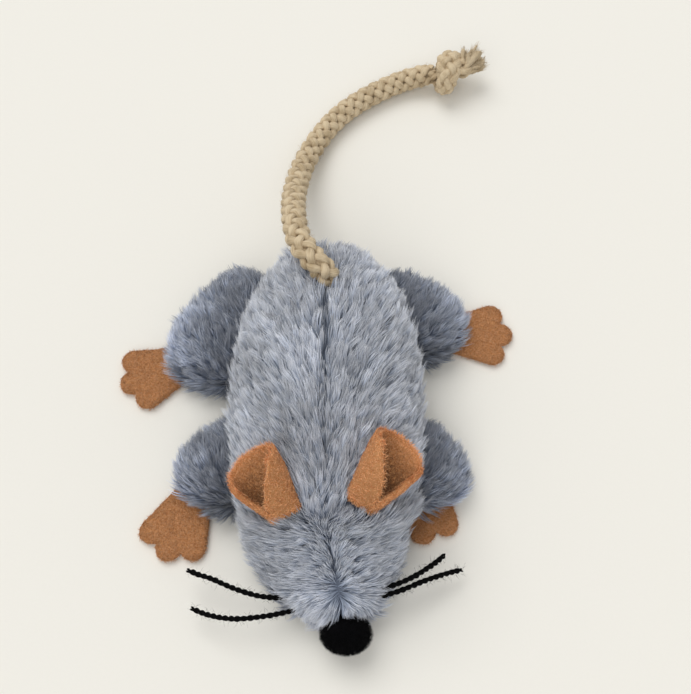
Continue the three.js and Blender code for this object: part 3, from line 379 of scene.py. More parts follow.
@dataclass(frozen=True)
class PressedFelt(Finish):
    """Wool felt pressed flat: matted fibres in several browns, mottled and fuzzy rather than woven."""

    dark: str = "9a6136"
    pale: str = "cf9f70"

    def paint(self, tree: bpy.types.NodeTree, shader: bpy.types.Node) -> None:
        """Adds mottling 2.5 mm across and matted fibres about 0.25 mm wide, drawn coarser than wool to show.

        Args:
            tree: the material's nodes.
            shader: the node to colour.
        """
        place = add_node(tree, "ShaderNodeTexCoord").outputs["Object"]
        mottle = add_node(tree, "ShaderNodeTexNoise", {}, {"Vector": place, "Scale": 1 / (2.5 * MM), "Detail": 4.0,
                                                           "Roughness": 0.7})
        fibre = add_node(tree, "ShaderNodeTexNoise", {}, {"Vector": place, "Scale": 1 / (0.5 * MM), "Detail": 5.0,
                                                          "Roughness": 0.75, "Distortion": 2.5})
        spread = add_node(tree, "ShaderNodeMapRange", {}, {"Value": fibre.outputs["Fac"], "From Min": 0.32,
                                                           "From Max": 0.72})
        cloud = add_node(tree, "ShaderNodeMapRange", {}, {"Value": mottle.outputs["Fac"], "From Min": 0.3,
                                                          "From Max": 0.7, "To Min": 0.25, "To Max": 0.75})
        base = add_node(tree, "ShaderNodeMix", {"data_type": "RGBA"},
                        {0: cloud.outputs[0], 6: linear(self.dark), 7: linear(self.colour)})
        tone = add_node(tree, "ShaderNodeMix", {"data_type": "RGBA"},
                        {0: spread.outputs[0], 6: base.outputs[2], 7: linear(self.pale)})
        half = add_node(tree, "ShaderNodeMix", {"data_type": "RGBA"},
                        {0: 0.65, 6: linear(self.colour), 7: tone.outputs[2]})
        tree.links.new(half.outputs[2], shader.inputs["Base Color"])
        self.vary_gloss(tree, shader, fibre.outputs["Fac"])
        bump = add_node(tree, "ShaderNodeBump", {}, {"Height": fibre.outputs["Fac"], "Strength": 0.55,
                                                     "Distance": 0.25 * MM})
        tree.links.new(bump.outputs["Normal"], shader.inputs["Normal"])


@dataclass(frozen=True)
class SpunCotton(Finish):
    """Spun natural cotton: dull cream with fine fibres along the yarn and browner specks of seed coat."""

    dark: str = "9c845f"
    toning: float = 4.0
    yarn_girth: float = 6.5
    yarn_length: float = 138.0
    fibre_width: float = 0.25
    fibre_length: float = 2.3

    def paint(self, tree: bpy.types.NodeTree, shader: bpy.types.Node) -> None:
        """Adds soft uneven toning and fibres that run with the yarn, drawn wider than cotton to show.

        Args:
            tree: the material's nodes.
            shader: the node to colour.
        """
        place = add_node(tree, "ShaderNodeTexCoord").outputs["Object"]
        toning = add_node(tree, "ShaderNodeTexNoise", {}, {"Vector": place, "Scale": 1 / (self.toning * MM),
                                                           "Detail": 3.0})
        mapped = add_node(tree, "ShaderNodeUVMap", {"uv_map": BAKE_MAP}).outputs["UV"]
        repeats = (self.yarn_girth / self.fibre_width, self.yarn_length / self.fibre_length, 1.0)
        run = add_node(tree, "ShaderNodeMapping", {}, {"Vector": mapped, "Scale": repeats}).outputs[0]
        fibre = add_node(tree, "ShaderNodeTexNoise", {}, {"Vector": run, "Scale": 1.0, "Detail": 3.0,
                                                          "Roughness": 0.65, "Distortion": 0.4})
        mixed = add_node(tree, "ShaderNodeMath", {"operation": "MULTIPLY"},
                         {0: toning.outputs["Fac"], 1: fibre.outputs["Fac"]})
        spread = add_node(tree, "ShaderNodeMapRange", {}, {"Value": mixed.outputs[0], "From Min": 0.06,
                                                           "From Max": 0.3})
        tone = add_node(tree, "ShaderNodeMix", {"data_type": "RGBA"},
                        {0: spread.outputs[0], 6: linear(self.dark), 7: linear(self.colour)})
        tree.links.new(tone.outputs[2], shader.inputs["Base Color"])
        self.vary_gloss(tree, shader, fibre.outputs["Fac"])
        bump = add_node(tree, "ShaderNodeBump", {}, {"Height": fibre.outputs["Fac"], "Strength": 0.8,
                                                     "Distance": 0.3 * MM})
        tree.links.new(bump.outputs["Normal"], shader.inputs["Normal"])


# pile cloth: pale tips over dull roots, so the light runs along the nap in streaks and the partings look dark
PLUSH = PilePlush("polyester pile, knitted and brushed", "e2e4ea", roughness=0.7, ior=1.52, specular=0.35, sheen=0.5)
# the legs' pile cloth: the body's pile with painted shade, cooler and darker because the legs lie in shade below the
# back, with the same streaks
SHADED_LEG_PLUSH = PilePlush("polyester pile, knitted and brushed, cooler dye lot", "dde2ee", roughness=0.7, ior=1.52,
                      specular=0.35, sheen=0.5, root="687690", middle="96a4bf")
# loose wool on the felt: dry and warm with hardly any gloss, so that faces look matted and edges furry
FELT_FIBRE = PilePlush("wool fibres, matted", "e4b58c", roughness=0.95, ior=1.5, specular=0.15, root="9e5a2b",
                       middle="c98f60")
# the felt under it: a flat dull brown, mottled in several shades
FELT = PressedFelt("wool felt, pressed", "bf8352", roughness=0.95, ior=1.5, specular=0.2, sheen=0.15)
# velvet: cut pile that swallows light, so the ball shows little but its outline
VELVET = Finish("cotton velvet, cut pile", "030305", roughness=1.0, ior=1.5, specular=0.1)
# whisker yarn: dull black, with only the slant of its two plies
YARN = Finish("wool yarn, two-ply twist", "030304", roughness=1.0, ior=1.5, specular=0.1)
# rope: dull cream stitches with brown between them
COTTON = SpunCotton("cotton rope, braided", "d9c6a6", roughness=0.9, ior=1.5, sheen=0.1)
# fill: matt white, seen only where the belly is open
FILL = Finish("polyester fibre fill, carded", "e9e9e6", roughness=1.0, ior=1.5)
# the flap's cloth: plain soft grey behind its short pile
FLAP_CLOTH = Finish("polyester knit, brushed", "7e8794", roughness=0.95, ior=1.5, sheen=0.2)
# tape: close dark loops with a faint shine
TAPE = Finish("nylon hook and loop tape, woven", "4a4f55", roughness=0.85, ior=1.53)
# paper: even and matt, so that only shadows mark it
PAPER = Finish("paper, coated matt", "efede6", roughness=0.9, grain=0.01)
FRAME_FINISHES = {
    "hook_tape": TAPE,
    # pale shell with a soft broad shine
    "case_plastic": Finish("styrene, moulded matt", "d8d8d4", roughness=0.42, ior=1.55),
    # cool grey with blurred reflections
    "steel": Finish("steel, zinc plated", "b9bcc0", roughness=0.32, metallic=1.0),
    # brighter and clearer than the screws
    "cell_steel": Finish("steel, nickel plated", "c4c5c8", roughness=0.25, metallic=1.0),
    # warm yellow with rolled sheet's soft mirror
    "brass": Finish("brass sheet, rolled", "c79a4b", roughness=0.3, metallic=1.0),
    # deep green under a smooth coat
    "board": Finish("glass epoxy board, solder mask", "2c6b3c", roughness=0.35, ior=1.55),
    # black drop with a bright highlight
    "epoxy": Finish("epoxy drop, cured", "0c0c0d", roughness=0.3, ior=1.55),
    # black skin, tight and half shiny
    "capacitor_sleeve": Finish("vinyl sleeve, shrunk", "161616", roughness=0.4, ior=1.53),
    # cream, dense and half matt
    "ceramic": Finish("ceramic, fired", "e8e2d2", roughness=0.5, ior=1.6),
    # coloured wires with a soft waxy shine
    "insulation_red": Finish("red vinyl insulation, extruded", "9c2420", roughness=0.45, ior=1.53),
    "insulation_black": Finish("black vinyl insulation, extruded", "171717", roughness=0.45, ior=1.53),
}


@dataclass(frozen=True)
class Pile:
    """Fibres that stand in a cloth: each is a narrow blade that rises, leans with the nap and ends in a point."""

    length: float
    width: float
    lean_root: float
    lean_tip: float
    tuft: float = 0.0
    pull: float = 0.0
    swirl: float = 0.0
    stray: float = 0.12
    uneven: float = 0.12
    mottle: float = 0.1

    def grow(self, roots: Array, normals: Array, nap: Array, rng: np.random.Generator, scale: Array | float = 1.0,
             lift: Array | float = 0.0, tone: Array | float = 0.5) -> Patch:
        """Grows a fibre from each root.

        Args:
            roots: where the fibres start.
            normals: the cloth's outward directions there.
            nap: the directions that the fibres lean towards.
            rng: source of the fibres' differences.
            scale: share of the full length at each root.
            lift: how many degrees steeper the fibres stand there.
            tone: usual tint there, from 0, dark, to 1, pale.

        Returns:
            The fibres' faces; across the map is their tint, up it from root to tip.
        """
        count = len(roots)
        tuft = self.tufts(roots, rng)
        # turn, length, lean and tint come for the most part from the tuft and for the rest from the fibre itself
        mood = rng.normal(size=(4, count))[:, tuft] if self.tuft else np.zeros((4, count))
        own = rng.normal(size=(4, count))
        flat = unit(nap - normals * (nap * normals).sum(1, keepdims=True))
        turn = self.swirl * (ripple(roots, 13, 3) + 0.9 * mood[0]) + self.stray * own[0]
        flat = flat * np.cos(turn)[:, None] + np.cross(normals, flat) * np.sin(turn)[:, None]
        length = self.length * scale * np.clip(1 + self.uneven * (0.9 * mood[1] + 0.7 * own[1]), 0.5, 1.45)
        tilt = np.radians(5 * (mood[2] + 0.7 * own[2]) - lift)
        curve = [roots]
        for start, end in zip(FIBRE_MARKS, FIBRE_MARKS[1:]):
            lean = np.radians(lerp(self.lean_root, self.lean_tip, (start + end) / 2)) + tilt
            step = normals * np.cos(lean)[:, None] + flat * np.sin(lean)[:, None]
            curve.append(curve[-1] + step * (length * (end - start))[:, None])
        line = np.stack(curve, 1)
        if self.tuft:
            line += (line[tuft] - line) * (self.pull * FIBRE_MARKS ** 1.3)[None, :, None]
        line[..., 2] = np.maximum(line[..., 2], FLOOR_CLEAR)
        way = unit(np.gradient(line, axis=1))
        across = unit(np.cross(way, normals[:, None]))
        roll = rng.normal(0, 0.55, count)[:, None, None]
        across = across * np.cos(roll) + np.cross(way, across) * np.sin(roll)
        half = self.width / 2 * FIBRE_WIDTHS[None, :, None]
        left, right = line[:, :3] - across[:, :3] * half, line[:, :3] + across[:, :3] * half
        points = np.concatenate([left, right, line[:, 3:]], 1).reshape(-1, 3)
        tint = np.clip(tone + self.mottle * (1.05 * mood[3] + 0.65 * own[3]), LEAST_TINT, MOST_TINT)
        return self.blades(points, tint)

    def tufts(self, roots: Array, rng: np.random.Generator) -> Array:
        """Gives each fibre the number of the fibre that leads its tuft.

        Args:
            roots: where the fibres start.
            rng: picks the leaders.

        Returns:
            One number for each fibre; its own where the pile has no tufts.
        """
        if not self.tuft:
            return np.arange(len(roots))
        picks = rng.choice(len(roots), max(1, int(len(roots) * self.tuft)), replace=False)
        tree = KDTree(len(picks))
        for number, pick in enumerate(picks):
            tree.insert(roots[pick], number)
        tree.balance()
        return picks[np.array([tree.find(root)[1] for root in roots])]

    @staticmethod
    def blades(points: Array, tint: Array) -> Patch:
        """Joins each fibre's seven points into two four-sided faces and a point.

        Args:
            points: three points up each fibre's left edge, three up its right edge and its tip.
            tint: the fibres' tints.

        Returns:
            Their faces.
        """
        start = (np.arange(len(tint)) * 7)[:, None]
        low, high, tip = start + [0, 3, 4, 1], start + [1, 4, 5, 2], start + [2, 5, 6]
        edge = np.stack([tint - TINT_HALF, tint + TINT_HALF], 1)
        places = []
        for columns, heights in (((0, 1, 1, 0), (0, 0, 1, 1)), ((0, 1, 1, 0), (1, 1, 2, 2)), ((0, 1, 1), (2, 2, 3))):
            # a narrow margin keeps roots and tips off the map's edge
            v = np.broadcast_to(FIBRE_MARKS[list(heights)] * 0.96 + 0.02, (len(tint), len(heights)))
            places.append(np.stack([edge[:, list(columns)], v], -1))
        return Patch(points, [low, high, tip], places)


# lengths are real; the pile's fibres are drawn about eight times as wide as real ones of 0.02 mm, so that they show
BODY_PILE = Pile(length=6.4, width=0.19, lean_root=44, lean_tip=82, tuft=0.095, pull=0.62, swirl=0.2, stray=0.2,
                 uneven=0.18, mottle=0.13)
FACE_PILE = Pile(length=6.0, width=0.165, lean_root=46, lean_tip=84, tuft=0.12, pull=0.42, swirl=0.2, stray=0.26,
                 uneven=0.16, mottle=0.1)
LEG_PILE = Pile(length=5.4, width=0.17, lean_root=42, lean_tip=80, tuft=0.1, pull=0.58, swirl=0.26, stray=0.24,
                uneven=0.2, mottle=0.15)
# loose fibres of wool and cotton, two to six times as wide as real ones for the same reason
FELT_FUZZ = Pile(length=1.15, width=0.11, lean_root=82, lean_tip=95, stray=1.0, uneven=0.4, mottle=0.18)
VELVET_FUZZ = Pile(length=0.9, width=0.06, lean_root=10, lean_tip=40, stray=0.6, uneven=0.3)
YARN_FUZZ = Pile(length=1.6, width=0.05, lean_root=30, lean_tip=70, stray=0.8, uneven=0.5)
COTTON_FUZZ = Pile(length=1.5, width=0.05, lean_root=45, lean_tip=75, stray=0.9, uneven=0.5)
COTTON_END = Pile(length=1.8, width=0.12, lean_root=6, lean_tip=40, stray=0.9, uneven=0.35)


@dataclass
class Form:
    """A smooth surface as rows of points that close round, with its outward directions."""

    points: Array
    normals: Array = field(init=False)

    def __post_init__(self) -> None:
        """Works out the outward directions."""
        along = np.gradient(self.points, axis=0)
        around = np.roll(self.points, -1, 1) - np.roll(self.points, 1, 1)
        normals = unit(np.cross(around, along))
        middle = self.points.mean(1, keepdims=True)
        outward = np.sign(((self.points - middle) * normals).sum())
        self.normals = normals * outward

    def scatter(self, density: float, rng: np.random.Generator) -> tuple[Array, Array]:
        """Spreads points evenly over the surface.

        Args:
            density: points in each square millimetre.
            rng: source of their places.

        Returns:
            The points and the outward directions there.
        """
        after = np.roll(np.arange(self.points.shape[1]), -1)
        corner = [self.points[:-1], self.points[1:], self.points[1:, after], self.points[:-1, after]]
        facing = [self.normals[:-1], self.normals[1:], self.normals[1:, after], self.normals[:-1, after]]
        area = np.linalg.norm(np.cross(corner[2] - corner[0], corner[3] - corner[1]), axis=-1).ravel() / 2
        picks = rng.choice(area.size, int(area.sum() * density), p=area / area.sum())
        u, v = rng.random((2, len(picks), 1))
        weights = [(1 - u) * (1 - v), u * (1 - v), u * v, (1 - u) * v]
        place = sum(w * c.reshape(-1, 3)[picks] for w, c in zip(weights, corner))
        return place, unit(sum(w * f.reshape(-1, 3)[picks] for w, f in zip(weights, facing)))

    def skin(self, depth: Array | float, tone: Array | float = 0.4) -> Patch:
        """Gives the backing cloth.

        Args:
            depth: how far it lies below the pile's tips.
            tone: its tint, from 0, dark, to 1, pale.

        Returns:
            The cloth's faces.
        """
        shape = self.points.shape[:2]
        patch = Patch.grid(self.points - self.normals * np.broadcast_to(depth, shape)[..., None], True)
        tint = np.broadcast_to(tone, shape).reshape(-1)[patch.faces[0]].mean(1, keepdims=True)
        place = patch.places[0]
        # on the map the cloth lies among the fibres' roots
        across, up = np.clip(tint, LEAST_TINT, 0.9) + place[..., 0] * 0.05, 0.02 + place[..., 1] * 0.02
        patch.places = [np.stack([across, up], -1)]
        return patch


def stuffed_rings(centre: Array, across: Array, half_width: Array, top: Array, bottom: Array, sides: int) -> Array:
    """Gives cross-sections of a stuffed form: round above, flatter and fuller below.

    Args:
        centre: the sections' middles in plan.
        across: their sideways directions in plan.
        half_width: half their widths.
        top: their highest points.
        bottom: their lowest points.
        sides: points in each section.

    Returns:
        Sections by points by 3.
    """
    angle = np.linspace(0, 2 * math.pi, sides, endpoint=False)
    rise, reach = np.sin(angle), np.cos(angle)
    power = np.where(rise > 0, 2 / ROUND_ABOVE, 2 / SQUARE_BELOW)
    middle = lerp(bottom, top, WIDEST_AT)[:, None]
    tall = np.where(rise > 0, top[:, None] - middle, middle - bottom[:, None])
    out = np.sign(reach) * np.abs(reach) ** power * half_width[:, None]
    plan = centre[:, None] + across[:, None] * out[..., None]
    return np.concatenate([plan, (middle + np.sign(rise) * np.abs(rise) ** power * tall)[..., None]], -1)


@dataclass
class StuffedBody:
    """Body and head: two back panels, two face panels and the belly, sewn from pile plush."""

    rump: float = 58.0
    highest: float = 12.0
    widest: float = 6.0
    ear_seam: float = -30.0
    snout: float = -49.5
    rear_lift: float = 36.0
    half_width: float = 26.0
    height: float = 40.0
    neck_half_width: float = 21.5
    neck_height: float = 34.5
    snout_half_width: float = 9.0
    snout_top: float = 15.0
    snout_bottom: float = 5.0
    snout_shift: float = 3.2
    seam_shift: float = 4.6
    seam_tilt: float = 25.0
    seam_turn: float = 4.0
    rump_middle: float = 16.0
    belly: float = -0.5
    side_seam: float = 9.0
    density: float = 10.5
    backing: float = 3.0
    flap: tuple[float, float, float, float] = (-10.4, 14.2, 7.0, 37.0)
    flap_top: float = 5.0
    seam_width: float = 1.1
    cross_seam_width: float = 1.2
    rope_room: float = 2.7
    thinned_below: float = 0.45
    thinned_above: float = 0.05
    rows: int = 90
    sides: int = 132

    def width_at(self, y: Array) -> Array:
        """Gives half the body's width along its length.

        Args:
            y: places along the body.

        Returns:
            Half the width at each.
        """
        rear = self.half_width * round_off(share(y, self.widest, self.rump), 2.6)
        front = lerp(self.half_width, self.neck_half_width, share(y, self.widest, self.ear_seam) ** 1.8)
        ahead = share(y, self.ear_seam, self.snout)
        head = lerp(self.neck_half_width, self.snout_half_width, ahead ** 1.4) * (1 - 0.35 * share(ahead, 0.75, 1) ** 2)
        return np.where(y > self.widest, rear, np.where(y > self.ear_seam, front, head))

    def top_at(self, y: Array) -> Array:
        """Gives the height of the back and brow.

        Args:
            y: places along the body.

        Returns:
            The height at each.
        """
        rear = lerp(self.rump_middle, self.height, round_off(share(y, self.highest, self.rump), 2.5))
        front = lerp(self.height, self.neck_height, share(y, self.highest, self.ear_seam) ** 1.7)
        head = lerp(self.neck_height, self.snout_top, share(y, self.ear_seam, self.snout))
        return np.where(y > self.highest, rear, np.where(y > self.ear_seam, front, head))

    def bottom_at(self, y: Array) -> Array:
        """Gives the height of the belly and chin.

        Args:
            y: places along the body.

        Returns:
            The height at each.
        """
        rear = lerp(self.rump_middle, self.belly, round_off(share(y, self.rear_lift, self.rump), 2.2))
        head = lerp(self.belly, self.snout_bottom, share(y, self.ear_seam, self.snout) ** 2)
        return np.where(y > self.rear_lift, rear, head)

    def shift_at(self, y: Array) -> Array:
        """Gives how far the turned head lies off the body's middle."""
        return self.snout_shift * share(y, self.ear_seam, self.snout) ** 1.3

    def form(self) -> Form:
        """Gives the outer surface, at the tips of the pile.

        Returns:
            Rings from the snout to the rump.
        """
        rounded = np.sin(np.linspace(0, 1, self.rows) * math.pi / 2)
        rear = self.widest + (self.rump - self.widest) * rounded * 0.9995
        y = np.concatenate([np.linspace(self.snout, self.widest, self.rows)[:-1], rear])
        centre = np.stack([self.shift_at(y), y], 1)
        across = np.tile([1.0, 0.0], (len(y), 1))
        rings = stuffed_rings(centre, across, self.width_at(y), self.top_at(y), self.bottom_at(y), self.sides)
        # smaller rings close the snout behind the nose
        size = np.array([0.02, 0.3, 0.55, 0.75, 0.9])[:, None, None]
        front = lerp(rings[0].mean(0), rings[0], size) - np.array([0, 1.6, 0]) * (1 - size ** 2)
        return Form(np.concatenate([front, rings]))

    def behind_ears(self, points: Array) -> Array:
        """Gives how far points lie behind the cross seam that holds the ears.

        Args:
            points: points in space.

        Returns:
            Distances, less than 0 on the face.
        """
        tilt, turn = math.radians(self.seam_tilt), math.radians(self.seam_turn)
        facing = np.array([-math.sin(turn) * math.cos(tilt), math.cos(turn) * math.cos(tilt), math.sin(tilt)])
        return (points - np.array([0, self.ear_seam, self.neck_height])) @ facing

    def right_of_seam(self, points: Array) -> Array:
        """Gives how far points lie to the right of the seam down the back and the face.

        Args:
            points: points in space.

        Returns:
            Distances, less than 0 on the left.
        """
        run = np.array([self.seam_shift, self.snout - self.ear_seam])
        facing = np.array([-run[1], run[0]]) / np.linalg.norm(run)
        face = (points[..., :2] - np.array([0, self.ear_seam])) @ facing
        return np.where(self.behind_ears(points) > 0, points[..., 0], face)

    def inside(self, points: Array, margin: float) -> Array:
        """Tells which points lie deeper in the body than a margin.

        Args:
            points: points in space.
            margin: the depth to pass.

        Returns:
            True for those that do.
        """
        y = points[..., 1]
        top, bottom = self.top_at(y) - margin, self.bottom_at(y) + margin
        middle = lerp(bottom, top, WIDEST_AT)
        upper = points[..., 2] > middle
        tall = np.maximum(np.where(upper, top - middle, middle - bottom), 0.1)
        across = np.abs(points[..., 0] - self.shift_at(y)) / np.maximum(self.width_at(y) - margin, 0.1)
        rise = np.abs(points[..., 2] - middle) / tall
        power = np.where(upper, ROUND_ABOVE, SQUARE_BELOW)
        within = (y > self.snout + margin) & (y < self.rump - margin)
        return within & (across ** power + rise ** power < 1)

    def crease(self, points: Array) -> Array:
        """Gives how deep the seams draw the cloth in at points, from 0 to 1.

        Args:
            points: points on the surface.

        Returns:
            Shares of the full depth.
        """
        behind = self.behind_ears(points)
        middle = np.exp(-(self.right_of_seam(points) / self.seam_width) ** 2)
        strength = np.where(behind > 0, lerp(0.2, 1.0, share(points[..., 1], -20, 8)), 0.15)
        cross = 0.5 * np.exp(-(behind / self.cross_seam_width) ** 2)
        low = 0.5 * np.exp(-((points[..., 2] - self.side_seam) / self.cross_seam_width) ** 2)
        return np.maximum.reduce([middle * strength, cross, low])

    def nap(self, points: Array) -> Array:
        """Gives the directions that the pile leans: back and out from the middle, and forward round the nose.

        Args:
            points: points on the surface.

        Returns:
            One direction for each.
        """
        seam, behind = self.right_of_seam(points), self.behind_ears(points)
        side, apart = np.where(seam < 0, -1.0, 1.0), share(np.abs(seam), 0, 15)
        still = np.zeros(len(points))
        # on the back it leans to the rear, and outwards away from the seam
        back = np.stack([side * (0.14 + 0.5 * apart), still + 1, still], 1)
        # on the face it leans outwards, and more to the rear on the right
        beside = share(np.abs(seam), 0, 6)
        swept_back = lerp(0.9, np.where(side > 0, 0.85, 0.25), beside)
        face = np.stack([side * lerp(0.25, 1, beside), swept_back, still + 0.15], 1)
        # round the nose it leans forward
        snout = np.stack([side * 0.45, still - 0.9, still - 0.2], 1)
        face = lerp(face, snout, share(points[:, 1], -42, -48)[:, None])
        # under the ears it rises into a fringe, fuller on the right
        fringe = np.stack([side * 0.3, still + 1, still + 0.4], 1)
        swept = np.where(side > 0, 0.75, 0.2) * share(behind, -7, -1)
        face = lerp(face, fringe, swept[:, None])
        return np.where(behind[:, None] > 0, back, face)

    def on_belly(self, points: Array) -> Array:
        """Tells which points lie on the belly panel, round the flap's opening.

        Args:
            points: points on the surface.

        Returns:
            True for those that do.
        """
        low_x, high_x, low_y, high_y = self.flap
        x, y, z = points[..., 0], points[..., 1], points[..., 2]
        flap = (x > low_x) & (x < high_x) & (y > low_y) & (y < high_y) & (z < self.flap_top)
        return (z <= self.side_seam) & ~flap

    def on_upper(self, points: Array, side: Side, face: bool) -> Array:
        """Tells which points lie on one of the four panels above the side seams.

        Args:
            points: points on the surface.
            side: the panel's side of the middle seam.
            face: true for a face panel, ahead of the ears, and false for a back panel.

        Returns:
            True for those that do.
        """
        upper = points[..., 2] > self.side_seam
        beside = self.right_of_seam(points) * side.value >= 0
        return upper & beside & ((self.behind_ears(points) < 0) == face)

    def panels(self) -> dict[str, Callable[[Array], Array]]:
        """Gives the panels in the order in which they are made.

        Returns:
            Each panel's name and the test for its points.
        """
        tests: dict[str, Callable[[Array], Array]] = {"belly_panel": self.on_belly}
        for side in Side:
            name = side.name.lower()
            tests[f"back_panel_{name}"] = partial(self.on_upper, side=side, face=False)
            tests[f"face_panel_{name}"] = partial(self.on_upper, side=side, face=True)
        return tests

    def build(self, rope: Array, ears: Sequence["FeltEar"], paws: Sequence["FeltPaw"]) -> None:
        """Makes the panels with their pile.

        Args:
            rope: the tail's middle line, which the pile leaves room for.
            ears: the ears, whose cups the pile stays out of.
            paws: the paws, which press the belly's pile away.
        """
        rng = np.random.default_rng(SEED)
        form = self.form()
        places, normals = form.scatter(self.density, rng)
        gap = np.linalg.norm(places[:, None] - rope[None, ::4], axis=-1).min(1)
        # the pile is parted along the middle seam from behind the ears to the rope, and most beside the rope
        bare = share(places[:, 1], -14, 8) * lerp(1, 0.1, share(places[:, 1], 40, 43)) * (self.behind_ears(places) > 4)
        opening = 0.45 + 0.7 * share(places[:, 1], 28, 36)
        parted = (np.abs(self.right_of_seam(places)) < opening) & (rng.random(len(places)) < bare)
        cupped = np.zeros(len(places), bool)
        lean = self.nap(places)
        # no fibre grows whose root, middle or tip would stand in an ear's cup
        for ear in ears:
            for rise, reach in ((-1.0, 0.0), (0.0, 2.0), (0.3, 4.5)):
                cupped |= ear.holds(places + normals * rise + unit(lean) * reach)
        pressed = np.any([paw.covers(places) for paw in paws], axis=0)
        thin = np.where(places[:, 2] < self.side_seam, self.thinned_below, self.thinned_above)
        thinned = rng.random(len(places)) < thin
        keep = (gap > self.rope_room) & ~parted & ~cupped & ~pressed & ~thinned
        places, normals = places[keep], normals[keep]
        crease = self.crease(places)
        roots = places - normals * (self.backing - 0.2 + crease)[:, None]
        sunk = self.crease(form.points)
        # painted shade: the backing is darker where the seams draw it in, as shade falls there
        skin = form.skin(self.backing + 0.2 * sunk, 0.4 - 0.38 * sunk)
        nap = self.nap(places)
        behind = self.behind_ears(places)
        # painted light and shade: the pile is darker in the seams, where shade falls, and paler on the right of the
        # back, which the lamps from the left light less; it is also paler on the face, and the ripple is its own uneven
        # tone
        tone = 0.5 + 0.1 * ripple(places, 22, 15) - 0.25 * crease + 0.12 * share(behind, 0, -16)
        tone = tone + 0.12 * share(self.right_of_seam(places), 4, 18) * (behind > 0)
        fringe = share(behind, -7, -4.5) * share(behind, 0, -1.5)
        for name, test in self.panels().items():
            mine = test(places)
            edge = fringe[mine] * np.where(self.right_of_seam(places[mine]) > 0, 1.0, 0.4)
            short = lerp(1.0, 0.8, share(behind[mine], 0, -3)) * (1 + 0.4 * edge)
            pile = FACE_PILE if name.startswith("face") else BODY_PILE
            fur = pile.grow(roots[mine], normals[mine], nap[mine], rng, (1 - 0.3 * crease[mine]) * short, 20 * edge,
                            tone[mine])
            piece = make_piece(f"{name}_pile", joined([skin.only(test), fur]), PLUSH)
            settle(piece, "body", "plush", name)


